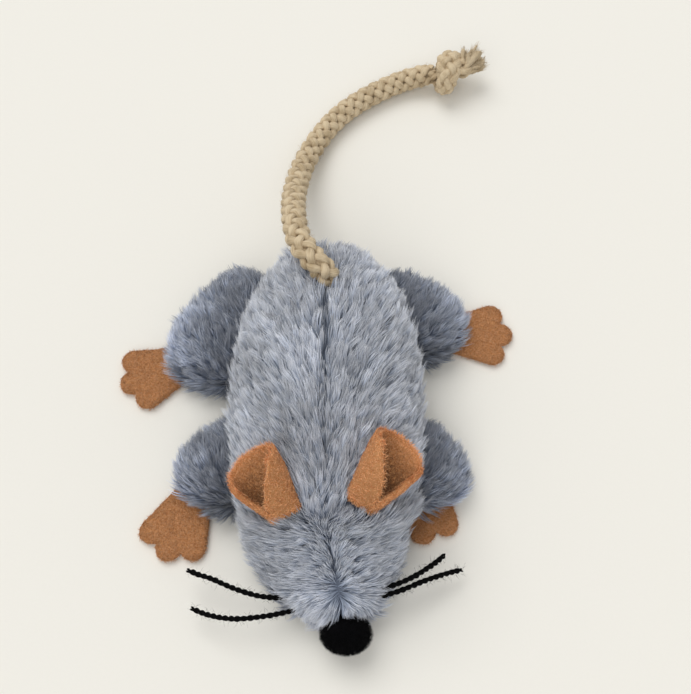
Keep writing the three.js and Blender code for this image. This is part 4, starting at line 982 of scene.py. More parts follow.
@dataclass
class StuffedLeg:
    """One leg: a stuffed pile tube sewn into the side seam, with a flat felt paw at its end."""

    name: str
    side: Side
    seam: float
    swing: float
    length: float
    half_width: float
    tip_half_width: float
    height: float
    paw_along: float
    paw_aside: float
    paw_turn: float
    seed: int
    paw_seed: int
    body: StuffedBody
    tip_height: float = 11.0
    floor: float = 0.3
    root_depth: float = 9.0
    root_end: float = 3.0
    density: float = 10.5
    backing: float = 2.9
    trim: float = 2.2
    tip_trim: float = 0.8
    sunk: float = 3.5
    tuck: float = 4.5
    tuck_height: float = 7.0
    sides: int = 72
    paw_shift: tuple[float, float] = (0.0, 0.0)

    def start(self) -> Array:
        """Gives the middle of the leg's seam in plan."""
        return np.array([self.side.value * float(self.body.width_at(np.array(self.seam))), self.seam])

    def along(self) -> Array:
        """Gives the leg's direction in plan."""
        swing = math.radians(self.swing)
        return np.array([self.side.value * math.cos(swing), -math.sin(swing)])

    def form(self) -> Form:
        """Gives the leg's outer surface, at the tips of the pile.

        Returns:
            Rings from the seam to the leg's end.
        """
        along = self.along()
        tip_start = self.length - self.tip_half_width
        rounded = np.sin(np.linspace(0, 1, 28) * math.pi / 2) * 0.999
        distance = np.concatenate([lerp(self.root_end, -self.root_depth, rounded[::-1]),
                                   np.linspace(self.root_end, tip_start, 24)[1:-1],
                                   lerp(tip_start, self.length, rounded)])
        taper = share(distance, self.root_end, self.length) ** 1.5
        ends = round_off(share(distance, tip_start, self.length), 2.2)
        ends = ends * round_off(share(distance, self.root_end, -self.root_depth), 3)
        height = lerp(self.height, self.tip_height, taper)
        middle = self.floor + height * WIDEST_AT
        top, bottom = lerp(middle, self.floor + height, ends), lerp(middle, self.floor - 0.5, ends)
        width = lerp(self.half_width, self.tip_half_width, taper) * ends
        across = np.tile([along[1], -along[0]], (len(distance), 1))
        drawn = lerp(self.trim, self.tip_trim, taper) * ends
        centre = self.start() + along * distance[:, None] + across * (self.side.value * drawn)[:, None]
        return Form(stuffed_rings(centre, across, width - drawn, top, bottom, self.sides))

    def outside(self, points: Array) -> Array:
        """Tells which points show outside the body and aren't tucked under its belly.

        Args:
            points: points on the leg.

        Returns:
            True for those that do.
        """
        aside = np.abs(points[..., 0] - self.body.shift_at(points[..., 1]))
        tucked = (aside < self.body.width_at(points[..., 1]) - self.tuck) & (points[..., 2] < self.tuck_height)
        return ~self.body.inside(points, self.sunk) & ~tucked

    def build(self) -> None:
        """Makes the leg with its pile, and its paw."""
        rng = np.random.default_rng(SEED + self.seed)
        form = self.form()
        paw = self.paw()
        places, normals = form.scatter(self.density, rng)
        keep = self.outside(places) & ~paw.covers(places)
        places, normals = places[keep], normals[keep]
        nap = np.tile([self.side.value * 0.45, 1.0, 0.0], (len(places), 1))
        roots = places - normals * (self.backing - 0.2)
        along = self.along()
        # painted shade: the pile is darker beside the body, which shades it, and paler to the rear and towards the paw,
        # where the light reaches it; the ripple is its own uneven tone
        reach = (places[:, :2] - self.start()) @ along
        rear = (places[:, :2] - self.start()) @ np.array([along[1], -along[0]]) * -self.side.value
        tone = 0.3 * share(rear, -8, 12) + 0.52 * share(reach, 6, self.length) + 0.06 * ripple(places, 14, 25) - 0.1
        fur = LEG_PILE.grow(roots, normals, nap, rng, tone=tone)
        # painted shade: the backing between the fibres is kept dark like the shaded pile
        skin = form.skin(self.backing, 0.1).only(self.outside)
        body = f"leg_{self.name}"
        # the legs' pile is the body's cloth with painted shade
        piece = make_piece(f"{body}_pile", joined([skin, fur]), SHADED_LEG_PLUSH)
        settle(piece, body, "plush", body)
        paw.build(body)

    def paw(self) -> "FeltPaw":
        """Gives the paw, laid at the leg's end.

        Returns:
            The paw, not built yet.
        """
        along, turn = self.along(), math.radians(self.paw_turn)
        across = np.array([along[1], -along[0]]) * self.side.value
        palm = self.start() + along * self.paw_along - across * self.paw_aside + np.array(self.paw_shift)
        heading = math.atan2(-math.sin(turn), self.side.value * math.cos(turn))
        return FeltPaw(self.name, palm, heading, self.floor, self.paw_seed)


def felt_normals(points: Array) -> Array:
    """Gives a sheet's facing directions from its rows of points."""
    return unit(np.cross(np.gradient(points, axis=0), np.gradient(points, axis=1)))


@dataclass
class FeltPaw:
    """A flat felt paw: a palm, three toes and the heel that the leg holds."""

    name: str
    palm: Array
    heading: float
    floor: float
    seed: int
    thickness: float = 2.0
    palm_radius: float = 6.8
    toe_radius: float = 3.5
    toe_reach: float = 8.7
    toe_spread: float = 46.0
    heel_length: float = 6.5
    heel_half_width: float = 5.6
    palm_ahead: float = 0.8
    soften: float = 0.25
    pressed: float = 0.5
    pressed_height: float = 6.0
    density: float = 16.0

    def outline(self, angle: Array) -> Array:
        """Gives the paw's reach from its palm's middle in each direction.

        Args:
            angle: directions in radians.

        Returns:
            The reach in each.
        """
        reach = np.linspace(0, 15, 601)
        place = np.stack([reach * np.cos(angle)[:, None], reach * np.sin(angle)[:, None]], -1)
        gaps = [np.linalg.norm(place - [self.palm_ahead, 0], axis=-1) - self.palm_radius]
        for turn in np.radians([-self.toe_spread, 0, self.toe_spread]):
            toe = self.toe_reach * np.array([math.cos(turn), math.sin(turn)])
            heel = np.array([-self.heel_length, math.copysign(self.heel_half_width - self.toe_radius, turn)])
            run = toe - heel
            part = np.clip((place - heel) @ run / (run @ run), 0, 1)
            gaps.append(np.linalg.norm(place - heel - part[..., None] * run, axis=-1) - self.toe_radius)
        soft = -np.log(sum(np.exp(-gap / self.soften) for gap in gaps)) * self.soften
        return np.where(soft < 0, reach, 0).max(1)

    def covers(self, points: Array) -> Array:
        """Tells which points lie on the paw, where the leg's pile is pressed away.

        Args:
            points: points in space.

        Returns:
            True for those that do.
        """
        apart = points[:, :2] - self.palm
        angle = np.linspace(-math.pi, math.pi, 91)
        turn = (np.arctan2(apart[:, 1], apart[:, 0]) - self.heading + math.pi) % (2 * math.pi) - math.pi
        edge = np.interp(turn, angle, self.outline(angle)) + self.pressed
        return (np.linalg.norm(apart, axis=1) < edge) & (points[:, 2] < self.pressed_height)

    def build(self, body: str) -> None:
        """Makes the paw with its loose fibres.

        Args:
            body: the leg that carries it.
        """
        angle = np.linspace(0, 2 * math.pi, 160, endpoint=False)
        edge = self.outline(angle)
        flat = np.stack([edge * np.cos(angle), edge * np.sin(angle), edge * 0 + self.heading * 9], -1)
        edge = edge + 0.12 * ripple(flat, 2.4, 8)
        inset = np.concatenate([np.linspace(0, 0.86, 12), 1 - np.array([0.1, 0.07, 0.045, 0.025, 0.012, 0.004, 0.0])])
        reach = inset[:, None] * edge
        half = self.thickness / 2
        depth = np.minimum((edge - reach) / half, 1)
        rise = half * np.sqrt(np.maximum(1 - (1 - depth) ** 2, 0))
        heading = angle + self.heading
        plan = np.stack([self.palm[0] + reach * np.cos(heading), self.palm[1] + reach * np.sin(heading)], -1)
        top = np.concatenate([plan, (self.floor + half + rise)[..., None]], -1)
        top[..., 2] += 0.22 * ripple(top, 7, 5) * depth
        low = np.concatenate([plan, (self.floor + half - rise)[..., None]], -1)
        shell = np.concatenate([top, low[-2::-1]])
        piece = make_piece(f"paw_{self.name}_felt", Patch.grid(shell, True), FELT, weld=True)
        settle(piece, body, "felt", f"paw_{self.name}")
        form = Form(top)
        rng = np.random.default_rng(SEED + self.seed)
        places, normals = form.scatter(self.density, rng)
        loose = FELT_FUZZ.grow(places, normals, rng.normal(size=places.shape), rng, tone=0.42)
        fuzz = make_piece(f"paw_{self.name}_fibres", loose, FELT_FIBRE)
        settle(fuzz, body, "felt")


@dataclass
class FeltEar:
    """A felt ear: a sheet wrapped into a cup that opens to the front and outwards, caught in the cross seam."""

    side: Side
    apart: float
    length: float
    lean_out: float
    lean_back: float
    set_back: float
    body: StuffedBody
    thickness: float = 1.4
    base_half_width: float = 4.3
    base_depth: float = 1.3
    half_width: float = 8.3
    depth: float = 7.1
    drawn_in: float = 0.9
    outer_base_turn: float = 150.0
    outer_turn: float = 106.0
    inner_base_turn: float = 225.0
    inner_turn: float = 112.0
    outer_drop: float = 0.3
    inner_drop: float = 0.1
    flare: float = 1.35
    edge: float = 0.4
    lining_fibres: int = 9000
    outer_fibres: int = 6000

    def surface(self, y: float) -> float:
        """Gives the height of the body's surface on the ear's side.

        Args:
            y: place along the body.

        Returns:
            The height, as far from the body's middle as the ear is.
        """
        body, at = self.body, np.array(y)
        middle = lerp(body.bottom_at(at), body.top_at(at), WIDEST_AT)
        aside = self.side.value * self.apart - body.shift_at(at)
        part = np.abs(aside / body.width_at(at)) ** ROUND_ABOVE
        return float(middle + (body.top_at(at) - middle) * (1 - part) ** (1 / ROUND_ABOVE))

    def seat(self) -> Array:
        """Gives the point of the cross seam that the ear stands on.

        Returns:
            The point.
        """
        body, x = self.body, self.side.value * self.apart
        y = body.ear_seam + x * math.tan(math.radians(body.seam_turn))
        y += (body.neck_height - self.surface(body.ear_seam)) * math.tan(math.radians(body.seam_tilt))
        return np.array([x, y + self.set_back, self.surface(y)])

    def axes(self) -> tuple[Array, Array, Array]:
        """Gives the ear's own directions.

        Returns:
            The directions up the ear, towards the toy's middle and to its front.
        """
        side = self.side.value
        rise = np.array([side * self.lean_out, self.lean_back, math.sqrt(1 - self.lean_out ** 2 - self.lean_back ** 2)])
        inward = unit(np.array([-side, 0, 0]) + rise * side * rise[0])
        return rise, inward, -side * np.cross(inward, rise)

    def holds(self, points: Array) -> Array:
        """Tells which points lie in the ear's cup.

        Args:
            points: points in space.

        Returns:
            True for those that do.
        """
        rise, inward, front = self.axes()
        place = points - self.seat()
        height = place @ rise
        flare = np.sin(np.clip(height / self.length, 0, 1) * self.flare)
        width, deep = lerp(self.base_half_width, self.half_width, flare), lerp(self.base_depth, self.depth, flare)
        within = (place @ inward / width) ** 2 + (place @ front / deep) ** 2 < 1
        return within & (height > -0.5) & (height < self.length)

    def sheet(self) -> Array:
        """Gives the middle of the felt.

        Returns:
            Points whose columns rise from the seam to the rim and whose rows run round the cup.
        """
        edge = np.array([0, 0.004, 0.01, 0.018, 0.03, 0.05])
        around = np.concatenate([edge, np.linspace(0.075, 0.925, 60), 1 - edge[::-1]]) * 2 - 1
        up = np.concatenate([edge, np.linspace(0.08, 0.9, 26), 1 - np.array([0.06, 0.04, 0.025, 0.014, 0.006, 0])])
        rise, inward, front = self.axes()
        across = around[:, None]
        rim = self.length * (1 - np.where(across < 0, self.outer_drop, self.inner_drop) * across ** 2)
        height = rim * up
        outer = lerp(self.outer_base_turn, self.outer_turn, height / self.length)
        inner = lerp(self.inner_base_turn, self.inner_turn, (height / self.length) ** 1.45)
        turn = np.radians(across * np.where(across < 0, outer, inner))
        flare = np.sin(height / self.length * self.flare)
        width = lerp(self.base_half_width, self.half_width, flare) - self.drawn_in
        deep = lerp(self.base_depth, self.depth, flare) - self.drawn_in
        points = self.seat() + rise * height[..., None]
        points = points + inward * (width * np.sin(turn))[..., None] - front * (deep * np.cos(turn))[..., None]
        return points + 0.12 * felt_normals(points) * ripple(points, 6, 11)[..., None]

    def build(self) -> None:
        """Makes the ear with its loose fibres."""
        rng = np.random.default_rng(SEED + 50 + self.side.value)
        middle = self.sheet()
        normals = felt_normals(middle)
        half = self.thickness / 2
        run = np.cumsum(np.linalg.norm(np.diff(middle, axis=0, prepend=middle[:1]), axis=-1), 0)
        climb = np.cumsum(np.linalg.norm(np.diff(middle, axis=1, prepend=middle[:, :1]), axis=-1), 1)
        border = np.minimum.reduce([run, run[-1:] - run, climb, climb[:, -1:] - climb])
        rise = half * np.sqrt(np.maximum(1 - (1 - np.minimum(border / self.edge, 1)) ** 2, 0))[..., None]
        layers = [middle + normals * rise, middle - normals * rise]
        name = f"ear_{self.side.name.lower()}"
        shell = joined([Patch.grid(layers[0]), Patch.grid(layers[1], turned=True)])
        piece = make_piece(f"{name}_felt", shell, FELT, weld=True)
        settle(piece, name, "felt", name)
        axis = self.seat() + self.axes()[0] * self.length / 2
        inside = ((axis - middle) * normals).sum() > 0
        fuzz = []
        for layer, facing, cupped in zip(layers, (normals, -normals), (inside, not inside)):
            count = self.lining_fibres if cupped else self.outer_fibres
            rows, columns = (rng.integers(0, n - 1, count) for n in layer.shape[:2])
            places = lerp(layer[rows, columns], layer[rows + 1, columns + 1], rng.random((count, 1)))
            rim = (climb / climb[:, -1:])[rows, columns]
            # painted shade: the cup's inner face darkens down to the seam, where shade falls deep in the cup, and every
            # edge is paler
            tone = lerp(-0.3, 0.74, rim ** 1.7) if cupped else 0.72
            tone = tone + 0.22 * share(border[rows, columns], 1.6, 0.3)
            fuzz.append(FELT_FUZZ.grow(places, facing[rows, columns], rng.normal(size=places.shape), rng, tone=tone))
        fibres = settle(make_piece(f"{name}_fibres", joined(fuzz), FELT_FIBRE), name, "felt")


@dataclass
class VelvetNose:
    """The nose: a small ball covered with black velvet, sewn on the snout's end."""

    centre: Point = (5.3, -51.9, 9.2)
    halves: Point = (6.7, 5.4, 6.1)
    pile: float = 0.5
    density: float = 26.0

    def build(self) -> None:
        """Makes the ball with its short pile."""
        rng = np.random.default_rng(SEED + 60)
        turn, rise = np.linspace(0, 2 * math.pi, 72, endpoint=False), np.linspace(-1, 1, 41) * math.pi / 2 * 0.999
        ball = np.stack([np.cos(rise)[:, None] * np.cos(turn), np.cos(rise)[:, None] * np.sin(turn),
                         np.sin(rise)[:, None] + 0 * turn], -1)
        points = np.array(self.centre) + ball * (np.array(self.halves) - self.pile)
        points = points + 0.18 * ball * ripple(points, 6, 21)[..., None]
        form = Form(points)
        places, normals = form.scatter(self.density, rng)
        nap = np.tile([0.2, -0.6, -0.5], (len(places), 1))
        fuzz = VELVET_FUZZ.grow(places, normals, nap, rng)
        piece = make_piece("nose_velvet", joined([form.skin(0.0), fuzz]), VELVET)
        settle(piece, "body", "velvet", "nose_cap")


def evenly(line: Array, step: float) -> Array:
    """Gives a line again with points about a step apart.

    Args:
        line: the line's points.
        step: the distance.

    Returns:
        Evenly spaced points on it.
    """
    along = np.concatenate([[0], np.cumsum(np.linalg.norm(np.diff(line, axis=0), axis=1))])
    at = np.linspace(0, along[-1], max(2, math.ceil(along[-1] / step) + 1))
    return np.stack([np.interp(at, along, line[:, k]) for k in range(line.shape[1])], 1)


def smooth_line(marks: Sequence[Point], step: float) -> Array:
    """Runs one smooth curve through points.

    Args:
        marks: the points.
        step: distance between the curve's own points.

    Returns:
        Evenly spaced points along the curve.
    """
    through = np.array(marks, float)
    ends = [2 * through[0] - through[1], 2 * through[-1] - through[-2]]
    knots = np.vstack([ends[0], through, ends[1]])
    part = np.linspace(0, 1, 25)[:-1, None]
    runs = []
    for before, start, end, after in zip(knots, knots[1:], knots[2:], knots[3:]):
        gaps = [max(np.linalg.norm(b - a), 1e-6) ** 0.5 for a, b in ((before, start), (start, end), (end, after))]
        leave = ((start - before) / gaps[0] - (end - before) / (gaps[0] + gaps[1]) + (end - start) / gaps[1]) * gaps[1]
        arrive = ((end - start) / gaps[1] - (after - start) / (gaps[1] + gaps[2]) + (after - end) / gaps[2]) * gaps[1]
        runs.append(start + leave * part + (3 * (end - start) - 2 * leave - arrive) * part ** 2
                    + (2 * (start - end) + leave + arrive) * part ** 3)
    return evenly(np.vstack([*runs, through[-1:]]), step)


def carried_frame(line: Array) -> tuple[Array, Array, Array]:
    """Gives directions along a line that don't twist round it.

    Args:
        line: the line's points.

    Returns:
        At each point the way on, a direction to the side and a third one square to both.
    """
    way = unit(np.gradient(line, axis=0))
    side = np.empty_like(line)
    side[0] = unit(np.cross(way[0], [0.1, 0.2, 1.0]))
    for i in range(1, len(line)):
        side[i] = unit(side[i - 1] - way[i] * (side[i - 1] @ way[i]))
    return way, side, np.cross(way, side)


def yarn_tube(line: Array, outward: Array, wide: Array, thick: Array, plies: int, lay: float, groove: float,
              sides: int = 12) -> Patch:
    """Makes a yarn of oval section whose plies show as slanting grooves.

    Args:
        line: its middle.
        outward: the direction of its thickness along it.
        wide: its width along it.
        thick: its thickness along it.
        plies: how many plies show round it.
        lay: length of one turn of the plies.
        groove: depth of the grooves, as a share of its size.
        sides: points round it.

    Returns:
        The yarn's faces.
    """
    way = unit(np.gradient(line, axis=0))
    across = unit(np.cross(way, outward))
    rise = np.cross(across, way)
    along = np.concatenate([[0], np.cumsum(np.linalg.norm(np.diff(line, axis=0), axis=1))])
    turn = np.linspace(0, 2 * math.pi, sides, endpoint=False)
    swell = 1 + groove * np.cos(plies * (turn - 2 * math.pi * along[:, None] / lay))
    x = np.cos(turn) * np.broadcast_to(wide, len(line))[:, None] / 2 * swell
    y = np.sin(turn) * np.broadcast_to(thick, len(line))[:, None] / 2 * swell
    points = line[:, None] + across[:, None] * x[..., None] + rise[:, None] * y[..., None]
    return Patch.grid(points, True)


@dataclass
class Braid:
    """A round braid of eight yarns, four each way, each over one and under one.

    A yarn is broad where it lies on top and narrow where it dives, so that each stitch shows as a plump leaf.
    """

    diameter: float
    pitch: float = 16.5
    wide: float = 0.265
    leaf: float = 0.075
    thick: float = 0.24
    middle: float = 0.295
    wave: float = 0.1
    core: float = 0.42
    plies: int = 5
    lay: float = 14.0
    groove: float = 0.06
    sides: int = 16

    def strands(self, line: Array, size: Array, press: Array | None = None,
                drawn: Array | float = 1.0) -> list[tuple[Array, Array, Array]]:
        """Gives the yarns' middles.

        Args:
            line: the rope's middle.
            size: share of the full diameter along it.
            press: directions in which the rope is flattened, as long as the root of the share lost.
            drawn: how much longer the stitches are drawn along it.

        Returns:
            Each yarn's middle, its outward direction and its width.
        """
        _, side, up = carried_frame(line)
        step = np.linalg.norm(np.diff(line, axis=0, prepend=line[:1]), axis=1)
        turned = 2 * math.pi * np.cumsum(step / drawn) / self.pitch
        local = self.diameter * size
        found = []
        for number in range(8):
            way = 1 if number < 4 else -1
            turn = way * turned + (number % 4) * math.pi / 2
            out = side * np.cos(turn)[:, None] + up * np.sin(turn)[:, None]
            above = way * np.cos(4 * turned)
            offset = out * (local * (self.middle + self.wave * above))[:, None]
            if press is not None:
                offset = offset - press * (offset * press).sum(1, keepdims=True)
            found.append((line + offset, unit(offset), local * (self.wide + self.leaf * above)))
        return found

    def patch(self, line: Array, size: Array, press: Array | None = None, drawn: Array | float = 1.0) -> Patch:
        """Gives the braid's faces along a line.

        Args:
            line: the rope's middle.
            size: share of the full diameter along it.
            press: directions in which the rope is flattened, as long as the root of the share lost.
            drawn: how much longer the stitches are drawn along it.

        Returns:
            The faces of its core and its yarns.
        """
        local, spun = self.diameter * size, (self.plies, self.lay, self.groove)
        core = yarn_tube(line, carried_frame(line)[1], local * self.core, local * self.core, *spun)
        return joined([core] + [yarn_tube(middle, out, wide, local * self.thick, *spun, self.sides)
                                for middle, out, wide in self.strands(line, size, press, drawn)])


def stray_fibres(line: Array, radius: float, count: int, pile: Pile, rng: np.random.Generator) -> Patch:
    """Grows loose fibres from a cord's surface.

    Args:
        line: the cord's middle.
        radius: its radius.
        count: how many fibres.
        pile: what they are like.
        rng: source of their places.

    Returns:
        The fibres' faces.
    """
    way, side, up = carried_frame(line)
    at, turn = rng.integers(0, len(line), count), rng.uniform(0, 2 * math.pi, count)[:, None]
    out = side[at] * np.cos(turn) + up[at] * np.sin(turn)
    drift = way[at] * rng.choice([-1, 1], (count, 1)) + rng.normal(0, 0.5, (count, 3))
    return pile.grow(line[at] + out * radius, out, drift, rng)


@dataclass
class RopeTail:
    """The tail: braided cotton rope out of the back seam, with an overhand knot and a frayed end."""

    diameter: float = 7.4
    length: float = 131.8
    knot_middle: float = 3.4
    knot_height: float = 6.95
    fray_turn: float = 46.0
    fray_plies: int = 4
    fray_fibres: int = 30
    fibres: int = 1500
    step: float = 0.45
    knot_step: float = 0.35
    # where the rope leaves the back seam, in metres
    exit: Point = (0.0012, 0.0361, 0.0382)
    marks: tuple[Point, ...] = (
        (1.2, 38.6, 30.0), (0.6, 38.7, 33.6), (-0.6, 39.2, 36.9), (-2.4, 40.7, 39.0), (-4.8, 43.2, 39.4),
        (-6.7, 47.0, 38.3), (-8.3, 52.1, 35.9), (-9.3, 58.6, 32.0), (-9.9, 65.6, 27.2), (-10.2, 72.8, 21.9),
        (-10.0, 80.2, 16.7), (-9.4, 87.3, 12.2), (-8.4, 93.8, 8.8), (-6.9, 99.6, 6.4), (-5.2, 104.5, 4.9),
        (-3.0, 109.0, 4.1), (-0.6, 112.9, 3.9), (2.4, 116.7, 3.9), (5.7, 120.1, 3.9), (9.6, 123.4, 3.9),
        (13.9, 126.4, 3.9), (18.3, 129.1, 3.9), (22.5, 131.2, 4.1), (26.6, 132.5, 4.6), (29.8, 133.1, 5.2),
        (32.7, 133.5, 5.8), (34.9, 133.8, 6.2),
    )
    # the knot's rope by place along the tail, distance from its line, turn round it and share of its diameter
    knot: tuple[tuple[float, float, float, float], ...] = (
        (-6.0, 0.2, -90, 0.7), (-3.0, 0.8, -90, 0.6), (0.0, 1.5, -80, 0.55), (2.4, 2.6, -50, 0.62),
        (2.8, 4.4, -15, 0.85), (2.0, 5.0, 25, 1.03), (1.0, 5.0, 65, 1.14), (0.1, 5.0, 110, 1.14),
        (-0.8, 5.0, 150, 1.06), (-1.4, 5.0, 195, 0.92), (-2.0, 4.7, 245, 0.75), (-2.0, 4.3, 300, 0.65),
        (-1.0, 3.6, 350, 0.58), (0.8, 2.6, 395, 0.6), (3.0, 2.4, 425, 0.72), (5.0, 2.4, 450, 0.84),
        (6.2, 2.8, 455, 0.9),
    )

    def line(self) -> Array:
        """Gives the rope's middle line."""
        return smooth_line(self.marks, self.step)

    def build(self) -> Array:
        """Makes the rope, its knot and its frayed end.

        Returns:
            The rope's middle line.
        """
        rng = np.random.default_rng(SEED + 70)
        line = self.line()
        braid = Braid(self.diameter)
        # the rope thins into its knot, and its stitches are longer where it hangs steeply
        taper = lerp(0.74, 1.0, share(np.arange(len(line))[::-1] * self.step, 0, 2.5))
        drawn = 1 + 0.9 * np.maximum(-carried_frame(line)[0][:, 2], 0)
        rope = make_piece("tail_rope_braid", joined([
            braid.patch(line, taper, drawn=drawn),
            stray_fibres(line, self.diameter * 0.46, self.fibres, COTTON_FUZZ, rng)]), COTTON)
        settle(rope, "tail", "cotton_rope", "tail_rope")
        knot = make_piece("tail_knot_braid", joined(self.knot_patches(line, braid, rng)), COTTON)
        settle(knot, "tail", "cotton_rope", "tail_knot")
        return line

    def knot_patches(self, line: Array, braid: Braid, rng: np.random.Generator) -> list[Patch]:
        """Gives the knot and the frayed end beyond it.

        Args:
            line: the rope's middle line.
            braid: the rope's braid.
            rng: source of the fibres' differences.

        Returns:
            Their faces.
        """
        ahead = unit(np.append((line[-1] - line[-6])[:2], 0.0))
        left, up = np.array([-ahead[1], ahead[0], 0.0]), np.array([0.0, 0.0, 1.0])
        middle = line[-1] + ahead * self.knot_middle
        middle = np.array([middle[0] + 0.7, middle[1] - 1.5, self.knot_height])
        marks, sizes = [], []
        for place, reach, turn, size in self.knot:
            angle = math.radians(turn)
            lift = (line[-1][2] - self.knot_height) * float(share(-place, 2, 7))
            marks.append(middle + ahead * place + left * math.cos(angle) * reach * 1.05
                         + up * (math.sin(angle) * reach * 0.85 + lift))
            sizes.append(size)
        out = unit(ahead * math.cos(math.radians(self.fray_turn)) + left * math.sin(math.radians(self.fray_turn)))
        marks.append(marks[-1] + out * 1.0)
        sizes.append(0.9)
        path = smooth_line(marks, self.knot_step)
        run = np.linspace(0, len(sizes) - 1, len(path))
        size = np.interp(run, np.arange(len(sizes)), sizes)
        radial = path - middle
        radial = radial - ahead * (radial @ ahead)[:, None]
        press = unit(radial) * (0.6 * share(np.linalg.norm(radial, axis=1), 2.5, 4))[:, None]
        patches = [braid.patch(path, size, press)]
        for end, outward, wide in braid.strands(path, size):
            patches += self.frayed(end[-3], out, outward[-1], wide[-1], rng)
        return patches

    def frayed(self, start: Array, out: Array, away: Array, wide: float, rng: np.random.Generator) -> list[Patch]:
        """Lets one yarn of the braid loose, parts its plies and opens them into fibres.

        Args:
            start: where the braid ends.
            out: the direction that the frayed end points in.
            away: the yarn's direction out of the braid.
            wide: the yarn's width there.
            rng: source of its bends.

        Returns:
            The plies and their fibres.
        """
        found, count = [], self.fray_fibres
        part = np.linspace(0, 1, 16)[:, None]
        for _ in range(self.fray_plies):
            bend = unit(away + rng.normal(0, 0.6, 3))
            line = start + out * part * rng.uniform(3.8, 6.2) + bend * (part ** 1.1) * rng.uniform(0.8, 3.4)
            line[:, 2] = np.maximum(line[:, 2], 1.0)
            size = wide * lerp(0.9, 0.7, part[:, 0]) * round_off(share(part[:, 0], 0.85, 1.0) * 0.98, 2)
            found.append(yarn_tube(line, np.tile(bend, (len(part), 1)), size, size * 0.9, plies=4, lay=6.0, groove=0.12,
                                   sides=10))
            pick = rng.integers(6, 15, count)
            way = unit(np.gradient(line, axis=0))[pick] + rng.normal(0, 0.16, (count, 3))
            found.append(COTTON_END.grow(line[pick] + rng.normal(0, 0.3, (count, 3)), unit(way),
                                         rng.normal(size=(count, 3)), rng))
        return found


@dataclass
class YarnWhisker:
    """A black yarn drawn through the snout, so that it shows on both sides."""

    name: str
    marks: tuple[Point, ...]
    length: float
    # where the yarn leaves the snout, in metres
    exit: Point
    seed: int
    diameter: float = 1.8
    snout: float = -49.5
    pitch: float = 3.4
    step: float = 0.25
    fibres: int = 420

    def build(self) -> None:
        """Makes the two-ply yarn with its loose fibres."""
        rng = np.random.default_rng(SEED + self.seed)
        line = smooth_line([(x, y + self.snout, z) for x, y, z in self.marks], self.step)
        _, side, up = carried_frame(line)
        along = np.arange(len(line)) * self.step
        patches = []
        for ply in range(2):
            turn = (2 * math.pi * along / self.pitch + ply * math.pi)[:, None]
            out = side * np.cos(turn) + up * np.sin(turn)
            thick = 0.47 * self.diameter * (1 + 0.1 * ripple(line, 3, 30 + ply))
            thick = thick * lerp(0.55, 1.0, share(np.minimum(along, along[-1] - along), 0, 1.2))
            patches.append(yarn_tube(line + out * 0.19 * self.diameter, out, thick, thick, plies=3, lay=2.6,
                                     groove=0.08, sides=9))
        patches.append(stray_fibres(line, self.diameter * 0.42, self.fibres, YARN_FUZZ, rng))
        piece = make_piece(f"whisker_{self.name}_yarn", joined(patches), YARN)
        settle(piece, "body", "yarn", f"whisker_yarn_{self.name}")


WHISKERS = (
    YarnWhisker("upper", (
        (-36.8, 14.4, 8.0), (-33.6, 13.0, 8.8), (-30.2, 11.8, 9.5), (-26.7, 10.2, 10.0), (-23.2, 8.7, 10.3),
        (-17.1, 6.9, 10.6), (-11.4, 6.4, 10.8), (-4.0, 6.6, 11.4), (3.0, 7.4, 12.0), (9.5, 7.4, 13.0),
        (15.2, 8.2, 14.0), (19.1, 9.4, 14.3), (22.0, 10.7, 14.0), (24.8, 12.4, 13.3), (28.3, 15.0, 11.8),
        (31.5, 17.9, 10.0)), length=76.7, exit=(0.0165, -0.0423, 0.0167), seed=451),
    YarnWhisker("lower", (
        (-35.4, 4.8, 6.0), (-32.1, 3.3, 7.0), (-28.7, 2.2, 8.0), (-25.3, 1.5, 9.0), (-22.0, 1.2, 10.0),
        (-15.4, 2.0, 9.4), (-9.7, 3.2, 9.0), (-3.4, 4.6, 9.4), (3.0, 5.4, 11.0), (9.4, 5.8, 12.4),
        (15.3, 6.6, 12.8), (19.3, 7.9, 12.2), (24.6, 10.3, 10.9), (30.1, 12.7, 8.8), (33.2, 13.9, 7.4),
        (36.3, 14.9, 6.0)), length=76.3, exit=(0.0165, -0.0427, 0.0126), seed=437),
)


